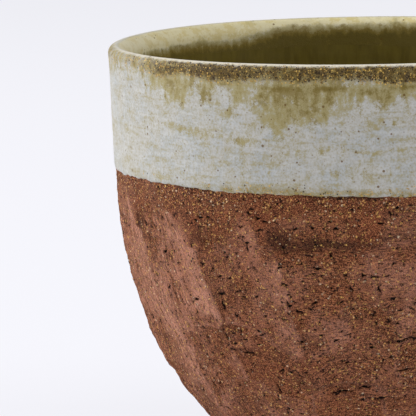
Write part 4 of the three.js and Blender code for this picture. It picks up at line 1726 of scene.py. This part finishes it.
@dataclass
class Glazes:
    """The coats of glaze: the pale band, the olive lip and the liner.

    Attributes:
        form: The thrown form.
        band_coat: Thickness of the band.
        rim_coat: Thickness over the lip.
        liner_coat: Thickness of the liner.
        line_depth: How far below the rim the band ends.
        line_wave: How far that edge waves up and down.
        run_depth: How far below the rim the lip's coat ends outside.
        run_wave: How far that joint waves.
        inside_depth: How far below the rim it ends inside.
        inside_wave: How far that joint waves.
        roll: How far up the band its rounded lower edge reaches.
        gap: How much thinner each coat is away from the crest.
        swell: How far the outer coats swell and sink.
        run_stray: How far the end of the olive runs strays, in millimetres.
        run_fade: Height over which the runs fade, in millimetres.
        ring_depth: Depth of the rings that throwing left inside.
        ring_pitch: Their pitch.
        strip_depth: How far below the crest the dark strip reaches, in millimetres.
        run_waves: Waves of the outer joint.
        dip_waves: Waves of the inner joint.
        line_waves: Waves of the lower edge.
        run_edge: Where the olive runs end, by azimuth in degrees and height in millimetres.
        blots: Patches of olive and pale holes.
        pale_side: Where the runs are weaker, by azimuth and width in degrees.
        frosted: Where light is painted pale inside the lip, by azimuth and width in degrees.
        deep_lip: Where the pale lip reaches deeper inside.
        weak_strip: Where the dark strip below the crest is weaker.
        thin_crest: Where the pale crest, partly a painted highlight, is narrower.
        dull_crest: Where it is duller.
        clean_hem: Where the lower edge is clean.
    """

    form: CupForm
    band_coat: float = 0.3 * MM
    rim_coat: float = 0.4 * MM
    liner_coat: float = 0.48 * MM
    line_depth: float = 21.1 * MM
    line_wave: float = 0.35 * MM
    run_depth: float = 8.5 * MM
    run_wave: float = 3 * MM
    inside_depth: float = 5 * MM
    inside_wave: float = 0.5 * MM
    roll: float = 0.7 * MM
    gap: float = 0.04 * MM
    swell: float = 0.035 * MM
    run_stray: float = 0.45
    run_fade: float = 3.4
    ring_depth: float = 0.05 * MM
    ring_pitch: float = 4.2 * MM
    strip_depth: float = 2.8
    run_waves: tuple[Wave, ...] = (Wave(3, 0.34, 0.6), Wave(7, 0.36, 2.2), Wave(12, 0.3, 4.1))
    dip_waves: tuple[Wave, ...] = (Wave(1, 0.5, 1.9), Wave(4, 0.3, 0.4), Wave(9, 0.2, 3.3))
    line_waves: tuple[Wave, ...] = (dip_waves[0], Wave(3, 0.65, 3.46), *dip_waves[1:])
    run_edge: tuple[tuple[float, float], ...] = (
        (-180, 66), (-172, 68.6), (-165, 67), (-158, 64.8), (-151, 67.9), (-144, 68.9), (-137, 66.1),
        (-131, 67.6), (-124, 69.5), (-117, 65.3), (-110, 67.8), (-103, 69.2), (-96, 66.8), (-90, 68.9),
        (-84, 70.3), (-77, 69.9), (-70, 70.6), (-64, 69.4), (-58, 70.6), (-52, 70.1), (-46.6, 68.8),
        (-43, 68), (-41.4, 67.1), (-40.4, 69.6), (-38, 70.4), (-36.4, 68.9), (-34, 68.4), (-32, 67.6),
        (-30, 66.9), (-29, 66.4), (-27.5, 68.2), (-25.5, 68.6), (-23, 67), (-20.4, 64.9), (-18.5, 63.5),
        (-17.2, 63.8), (-15, 65.6), (-12.8, 65), (-10.8, 66), (-8.6, 64.7), (-7, 66.2), (-5.9, 67.2),
        (-2, 68.2), (0.9, 68.4), (4, 67.6), (6.4, 68.7), (10.3, 69.4), (15, 68.4), (21, 66.2),
        (26, 68.7), (33, 64.4), (39, 67.3), (46, 69.2), (53, 66.3), (60, 68.8), (67, 69.7), (74, 65.1),
        (80, 67.6), (87, 69.1), (95, 66.9), (103, 68.9), (111, 67.2), (118, 64.6), (125, 68.1),
        (133, 69.3), (141, 66.4), (149, 68.8), (157, 67.4), (165, 65.4), (172, 67.9), (180, 66),
    )
    blots: tuple[Blot, ...] = tuple(Blot(*row) for row in (
        (-42.6, 63.7, 7, 0.9, 0.4), (-26.5, 62.6, 3.2, 1.0, 0.55), (-34, 63.2, 4, 0.8, 0.3),
        (-55, 63, 5, 1.2, 0.25), (-12, 61.5, 5, 1.0, 0.25), (-3, 58.6, 6, 0.8, 0.25),
        (6.4, 65.8, 0.8, 0.6, 0.9), (2.0, 60.8, 0.5, 0.4, 0.7), (0.9, 68.3, 1.1, 1.0, -0.9),
        (-31, 69.1, 2.0, 2.0, -0.9), (-37.5, 69.4, 1.4, 2.0, -0.5), (-23, 69.6, 1.6, 1.2, -0.4),
        (-8, 70.5, 5, 1.4, 0.35), (5, 70, 5, 1.6, 0.3), (-49, 64.6, 5, 0.7, 0.35),
        (-44, 64.1, 4, 0.6, 0.35), (-36.8, 63.5, 4, 0.6, 0.4), (-25.5, 62.9, 3.4, 0.8, 0.35),
        (-13.2, 63.5, 4, 0.8, 0.3), (-7, 61.6, 6, 0.8, 0.35), (2.3, 65.9, 3, 0.7, 0.4),
        (7.4, 61.5, 5, 1.0, 0.35), (-43, 60.4, 4, 0.8, 0.2), (-7, 57.6, 8, 0.9, 0.25),
        (-6.9, 71.3, 3.2, 0.4, 0.9), (-17.5, 71.2, 2.8, 0.4, 0.7), (1.6, 70.8, 3, 0.7, 0.7),
        (-30, 71.8, 3, 0.4, 0.6), (-22, 69.9, 1.2, 0.5, 0.6), (9, 71.4, 3, 0.6, 0.7),
    ))
    pale_side: tuple[float, float] = (-66, 16)
    frosted: tuple[float, float] = (-94, 22)
    deep_lip: Sector = Sector(-118, 22, 44)
    weak_strip: Sector = Sector(-85, 26, 56)
    thin_crest: Sector = Sector(-85, 15, 50)
    dull_crest: Sector = Sector(-105, 15, 45)
    clean_hem: Sector = Sector(-66, 20, 48)

    def edge_height(self, depth: float, swing: float, waves: Sequence[Wave], azimuth: Array) -> Array:
        """Gives the height of an edge that waves up and down at a depth below the rim."""
        wave = sum(wave.weight * np.sin(wave.count * azimuth + wave.turn) for wave in waves)
        return self.form.height - depth + swing * wave

    def line(self, azimuth: Array) -> Array:
        """Gives the distance up the wall at which the band starts, with its small wobbles."""
        around = np.stack([np.full_like(azimuth, self.form.radius), 0 * azimuth], axis=-1)
        circle = ring_points(azimuth, around)
        wobble = 0.13 * LatticeNoise(51).at(circle, 2.2 * MM) + 0.12 * LatticeNoise(52).at(circle, 0.8 * MM)
        height = self.edge_height(self.line_depth, self.line_wave, self.line_waves, azimuth)
        return self.form.wall.distance_at_height(height + wobble * MM)

    def joint(self, azimuth: Array) -> Array:
        """Gives the distance up the wall at which the band meets the lip's coat."""
        height = self.edge_height(self.run_depth, self.run_wave, self.run_waves, azimuth)
        return self.form.wall.distance_at_height(height)

    def inside(self, azimuth: Array) -> Array:
        """Gives the distance along the clay at which the lip's coat meets the liner."""
        height = self.edge_height(self.inside_depth, self.inside_wave, self.dip_waves, azimuth)
        return self.form.clay.distance_at_height(height, self.form.crest)

    def coat(self, azimuth: Array, reach: Array) -> Array:
        """Gives the thickness of the outer coats.

        Args:
            azimuth: Azimuth of each place.
            reach: Its distance along the clay.

        Returns:
            The thickness, which grows from the band's rounded edge to the lip.
        """
        rise = np.clip((reach - self.line(azimuth)) / self.roll, 0.0, 1.0)
        top = self.form.crest
        full = self.band_coat + (self.rim_coat - self.band_coat) * eased(reach, top - 9 * MM, top)
        full = full + (self.liner_coat - self.rim_coat) * eased(reach, top, top + 4 * MM)
        space = self.form.space_at(azimuth, reach)
        swell = self.swell * LatticeNoise(61).layered(space, 7 * MM, 2)
        swell += 0.012 * MM * LatticeNoise(63).at(space, (1.6 * MM, 1.6 * MM, 7 * MM))
        crest = 1 - eased(np.abs(reach - top), 0.8 * MM, 3 * MM)
        full = full - self.gap + swell * (1 - crest) + self.gap * crest
        return full * np.sqrt(1 - (1 - rise) ** 2)

    def olive(self, azimuth: Array, reach: Array) -> Array:
        """Gives how olive the outer glaze is.

        Args:
            azimuth: Azimuth of each place.
            reach: Its distance along the clay.

        Returns:
            About 0 where it is pale, and 1 or more where it has run.
        """
        space = self.form.space_at(azimuth, reach)
        below, height = (self.form.crest - reach) / MM, space[..., 2] / MM
        level = np.array([1.0, 1.0, 1e-9])
        edge = np.interp(np.degrees(azimuth), *zip(*self.run_edge))
        edge = edge + self.run_stray * LatticeNoise(71).layered(space * level, 2.5 * MM, 3)
        amount = np.clip(0.5 + (height - edge) / self.run_fade, 0.0, 0.95)
        amount = amount * (0.92 + 0.25 * LatticeNoise(73).layered(space, 10 * MM, 2))
        amount = amount - 0.16 * bell(azimuth, *self.pale_side)
        amount = sum((blot.amount(azimuth, height) for blot in self.blots), amount)
        patches = 0.3 * LatticeNoise(75).layered(space, 3 * MM, 2)
        inside = np.clip(0.2 + (-below - self.lip_depth(azimuth)) / 1.1, 0.2, 2.6) + patches
        return np.where(below < 0, inside, amount)

    def lip_depth(self, azimuth: Array) -> Array:
        """Gives how far inside the crest the pale lip reaches, in millimetres."""
        return 1.5 + 1.9 * (1 - self.deep_lip.outside(azimuth)) + 0.2 * np.sin(4 * azimuth + 1)

    def strip(self, azimuth: Array, reach: Array) -> Array:
        """Gives how thick the dark grit lies in the strip below the crest."""
        space = self.form.space_at(azimuth, reach)
        below = (self.form.crest - reach) / MM
        foot = self.strip_depth + 0.6 * LatticeNoise(81).layered(space, 4 * MM, 2)
        strength = 0.95 + 0.25 * LatticeNoise(83).at(space, 14 * MM)
        strength = np.clip(strength, 0, 1) * (0.33 + 0.67 * self.weak_strip.outside(azimuth))
        return strength * eased(below, 0.3, 0.6) * (1 - eased(below, foot - 1.1, foot + 0.9))

    def bare(self, azimuth: Array, reach: Array) -> Array:
        """Gives how thin the glaze breaks over the crest, which also paints a highlight along it, and the
        painted light inside the lip on the left.
        """
        space = self.form.space_at(azimuth, reach)
        below = (self.form.crest - reach) / MM
        edge = 0.36 + 0.22 * self.thin_crest.outside(azimuth)
        edge = edge + 0.14 * LatticeNoise(85).layered(space, MM, 2)
        crest = 0.5 + 0.38 * self.dull_crest.outside(azimuth)
        crest = crest * (1 - eased(below, edge - 0.2, edge + 0.15)) * eased(below, -0.4, -0.1)
        # Painted light inside the lip on the left.
        inner_light = 0.2 * bell(azimuth, *self.frosted)
        return crest + inner_light * eased(below, -0.1, -0.8) * eased(below, -4.0, -2.2)

    def inner(self, azimuth: Array, reach: Array) -> Array:
        """Gives how close to the lip a place inside it lies."""
        inward = (reach - self.form.crest) / MM
        depth = self.lip_depth(azimuth)
        return 0.9 * eased(inward, 0.1, 0.8) * (1 - eased(inward, depth, depth + 1.6))

    def hem(self, azimuth: Array, reach: Array) -> Array:
        """Gives how close the band's lower edge is."""
        space = self.form.space_at(azimuth, reach)
        patches = 1.15 + 1.1 * LatticeNoise(95).layered(space, 1.8 * MM, 3)
        front = 0.12 + 0.88 * self.clean_hem.outside(azimuth)
        return np.clip(patches * front, 0, 1) * (1 - eased(reach - self.line(azimuth), 0.3 * MM, 2.0 * MM))

    def build_coat(self, piece: TurnedPiece, low: Edging, high: Edging, bunch: float) -> Piece:
        """Builds an outer coat on the clay, from one edge to the other.

        Args:
            piece: How finely it is cut.
            low: Gives its lower edge for azimuths.
            high: Gives its upper edge.
            bunch: Over 1 where the rows crowd towards the lower edge.

        Returns:
            The coat.
        """
        def reach(azimuth: Array, share: Array) -> Array:
            """Gives the distance along the clay."""
            start = low(azimuth)
            return start + (high(azimuth) - start) * share ** bunch

        def place(azimuth: Array, share: Array, lift: Array) -> Array:
            """Puts the face a coat's thickness off the clay and the back on it."""
            distance = reach(azimuth, share)
            return self.form.space_at(azimuth, distance, lift * self.coat(azimuth, distance))

        def layers(azimuth: Array, share: Array, lift: Array) -> dict[str, Array]:
            """Gives the glaze's olive, dark strip, thin crest and lower hem."""
            distance = reach(azimuth, share)
            gives = (self.olive, self.strip, self.bare, self.inner, self.hem)
            return {give.__name__: give(azimuth, distance) for give in gives}

        return piece.build(place, layers)

    def build_band(self) -> Piece:
        """Builds the pale band."""
        piece = TurnedPiece("band_glaze_coat", face=16, back=4, steps=240, along_cuts=3, around_cuts=4)
        return self.build_coat(piece, self.line, self.joint, 1.25)

    def build_rim(self) -> Piece:
        """Builds the olive coat over the lip."""
        piece = TurnedPiece("rim_glaze_coat", face=18, back=12, steps=230, along_cuts=3, around_cuts=4)
        return self.build_coat(piece, self.joint, self.inside, 1.0)

    def build_liner(self) -> Piece:
        """Builds the liner, with the faint rings that throwing left under it."""
        def place(azimuth: Array, share: Array, lift: Array) -> Array:
            """Puts the face a coat's thickness off the clay and the back on it."""
            start = self.inside(azimuth)
            distance = start + (self.form.clay.length - start) * share
            ease = eased(share, 0.0, 0.05) * eased(share, 1.0, 0.95)
            ring = self.ring_depth * np.sin(TURN * distance / self.ring_pitch + azimuth) * ease
            thickness = self.liner_coat - self.gap - np.abs(ring)
            return self.form.space_at(azimuth, distance, lift * thickness)

        piece = TurnedPiece("liner_glaze_coat", face=60, back=30, steps=118, along_cuts=2, around_cuts=3,
                            capped=True)
        return piece.build(place)


@dataclass(frozen=True)
class Lamp:
    """A soft square lamp.

    Attributes:
        name: Its name.
        place: Where it stands.
        size: Its width.
        power: Its power in watts.
        colour: Its colour.
    """

    name: str
    place: tuple[float, float, float]
    size: float
    power: float
    colour: tuple[float, float, float]


@dataclass
class Studio:
    """The plain pale studio: floor, lamps, world and camera.

    Attributes:
        middle: What the lamps face.
        lamps: The lamps.
        floor_radius: Radius of the round floor.
        pale: Colour of the floor and of the world behind it.
        backdrop: Colour of the floor's own light.
        glow: Share of it that the camera sees.
        fill: Strength of the world's light.
        eye: Where the camera stands.
        gaze: What it looks at.
        roll: Its roll in degrees.
        lens: Its focal length in millimetres.
        sensor: Width of its sensor in millimetres.
        sky: Colour of the world's light.
        floor_roughness: How matt the floor is.
        floor_sides: How many sides the round floor has.
    """

    middle: Vector
    lamps: tuple[Lamp, ...] = (
        Lamp("window", (-0.95, 0.3, 0.65), 0.45, 7.2, (1.0, 0.995, 0.99)),
        Lamp("left_fill", (-1.05, -0.35, 0.4), 0.45, 3.8, (1.0, 0.99, 0.98)),
        Lamp("front_top", (0.2, -0.5, 1.0), 0.6, 2.2, (1.0, 0.985, 0.97)),
        Lamp("right_top", (0.8, -0.2, 0.75), 0.5, 3.8, (1.0, 0.985, 0.96)),
    )
    floor_radius: float = 4.0
    pale: Colour = paint(243, 243, 251)
    backdrop: Colour = paint(248, 248, 254)
    glow: float = 0.82
    fill: float = 0.3
    eye: tuple[float, float, float] = (0.0, -0.448098, 0.116332)
    gaze: tuple[float, float, float] = (-0.0272, -0.0044, 0.0464)
    roll: float = -1.11
    lens: float = 224.1
    sensor: float = 36.0
    sky: Colour = (0.95, 0.96, 1.0, 1.0)
    floor_roughness: float = 0.9
    floor_sides: int = 96

    def build(self) -> None:
        """Sets the whole studio up."""
        scene = bpy.context.scene
        scene.view_settings.view_transform = "Standard"
        self.build_world(scene)
        self.build_floor()
        for lamp in self.lamps:
            self.build_lamp(scene, lamp)
        self.build_camera(scene)

    def build_world(self, scene: bpy.types.Scene) -> None:
        """Lights the world softly, and shows it pale behind the object."""
        world = bpy.data.worlds.new("studio_air")
        scene.world = world
        world.use_nodes = True
        pen = Pen(world.node_tree)
        rays = pen.add("LightPath").outputs
        light = pen.add("Background", {"Color": self.sky, "Strength": self.fill})
        air = pen.add("Background", {"Color": self.pale, "Strength": 1.0})
        both = pen.add("MixShader", {0: rays["Is Camera Ray"], 1: light.outputs[0], 2: air.outputs[0]})
        pen.feed(world.node_tree.nodes["World Output"].inputs["Surface"], both.outputs[0])

    def build_floor(self) -> None:
        """Builds the round pale floor, which keeps the object's shadow."""
        form = bmesh.new()
        bmesh.ops.create_circle(form, cap_ends=True, segments=self.floor_sides, radius=self.floor_radius)
        floor = as_piece("floor", as_mesh("floor", form))
        material, pen, shader, _ = new_material("pale_floor")
        shader.inputs["Base Color"].default_value = self.pale
        shader.inputs["Roughness"].default_value = self.floor_roughness
        rays = pen.add("LightPath").outputs
        glow = pen.add("Emission", {"Color": self.backdrop, "Strength": 1.0})
        share = pen.times(rays["Is Camera Ray"], self.glow)
        both = pen.add("MixShader", {0: share, 1: shader.outputs[0], 2: glow.outputs[0]})
        pen.feed(material.node_tree.nodes["Material Output"].inputs["Surface"], both.outputs[0])
        floor.data.materials.append(material)

    def build_lamp(self, scene: bpy.types.Scene, lamp: Lamp) -> None:
        """Hangs one lamp and turns it to the object."""
        light = bpy.data.lights.new(lamp.name, "AREA")
        light.size, light.energy, light.color = lamp.size, lamp.power, lamp.colour
        stand = bpy.data.objects.new(lamp.name, light)
        stand.location = lamp.place
        stand.rotation_euler = (self.middle - stand.location).to_track_quat("-Z", "Y").to_euler()
        scene.collection.objects.link(stand)

    def build_camera(self, scene: bpy.types.Scene) -> None:
        """Stands the camera where the photograph was taken."""
        camera = bpy.data.cameras.new("camera")
        camera.lens = self.lens
        camera.sensor_width = self.sensor
        stand = bpy.data.objects.new("camera", camera)
        aim = (Vector(self.gaze) - Vector(self.eye)).to_track_quat("-Z", "Y").to_matrix().to_4x4()
        roll = Matrix.Rotation(math.radians(self.roll), 4, "Z")
        stand.matrix_world = Matrix.Translation(self.eye) @ aim @ roll
        scene.collection.objects.link(stand)
        scene.camera = stand


def dress(piece: Piece, material: Material, slot: str, *nodes: str) -> None:
    """Gives a piece its material and its body, and hides the CAD nodes that it stands for.

    Args:
        piece: The piece.
        material: Its material.
        slot: The record's material slot; not used.
        nodes: The CAD nodes that it replaces.
    """
    piece.data.materials.append(material)
    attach(piece, "root")
    if nodes:
        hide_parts(*nodes)
    LOG.info("%s: %d faces", piece.name, len(piece.data.polygons))


def main() -> None:
    """Builds the cup and its studio, and reports each piece."""
    logging.basicConfig(level=logging.INFO, format="%(name)s: %(message)s")
    foot_box, rim_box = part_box("foot_ring"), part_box("rim_glaze")
    form = CupForm(height=rim_box[1].z, radius=rim_box[1].x, foot_height=foot_box[1].z)
    Studio(middle=Vector((0, 0, form.height / 2))).build()
    glazes = Glazes(form)
    line = form.height - glazes.line_depth
    carving = Paring(form, top=line - CARVE_MARGIN, foot=form.foot_height + CARVE_HEEL)
    glaze_line = float(form.wall.distance_at_height(line))
    clay = ClayWall(form, carving, glaze_line, glazes.line)
    patterns = Patterns()
    bare = ClayFinish("bare_clay").material(patterns)
    for piece in (*map(clay.build_ring, ClayRing), clay.build_lip(), clay.build_floor()):
        dress(piece, bare, "red_clay", "clay_body")
    dress(clay.build_grog(), GrogFinish("grog").material(patterns), "red_clay")
    foot = ClayFinish("foot_clay", body=paint(122, 78, 60), grit=0.1, pores=0.2).material(patterns)
    dress(FootRing(foot_box[1].x, form.foot_height).build(), foot, "foot_clay", "foot_ring")
    outer = GlazeFinish("outer_glaze").material(patterns)
    dress(glazes.build_band(), outer, "pale_glaze", "band_glaze")
    dress(glazes.build_rim(), outer, "olive_glaze", "rim_glaze")
    dress(glazes.build_liner(), LinerFinish("liner").material(patterns), "liner_glaze", "liner_glaze")


if __name__ == "__main__":
    main()
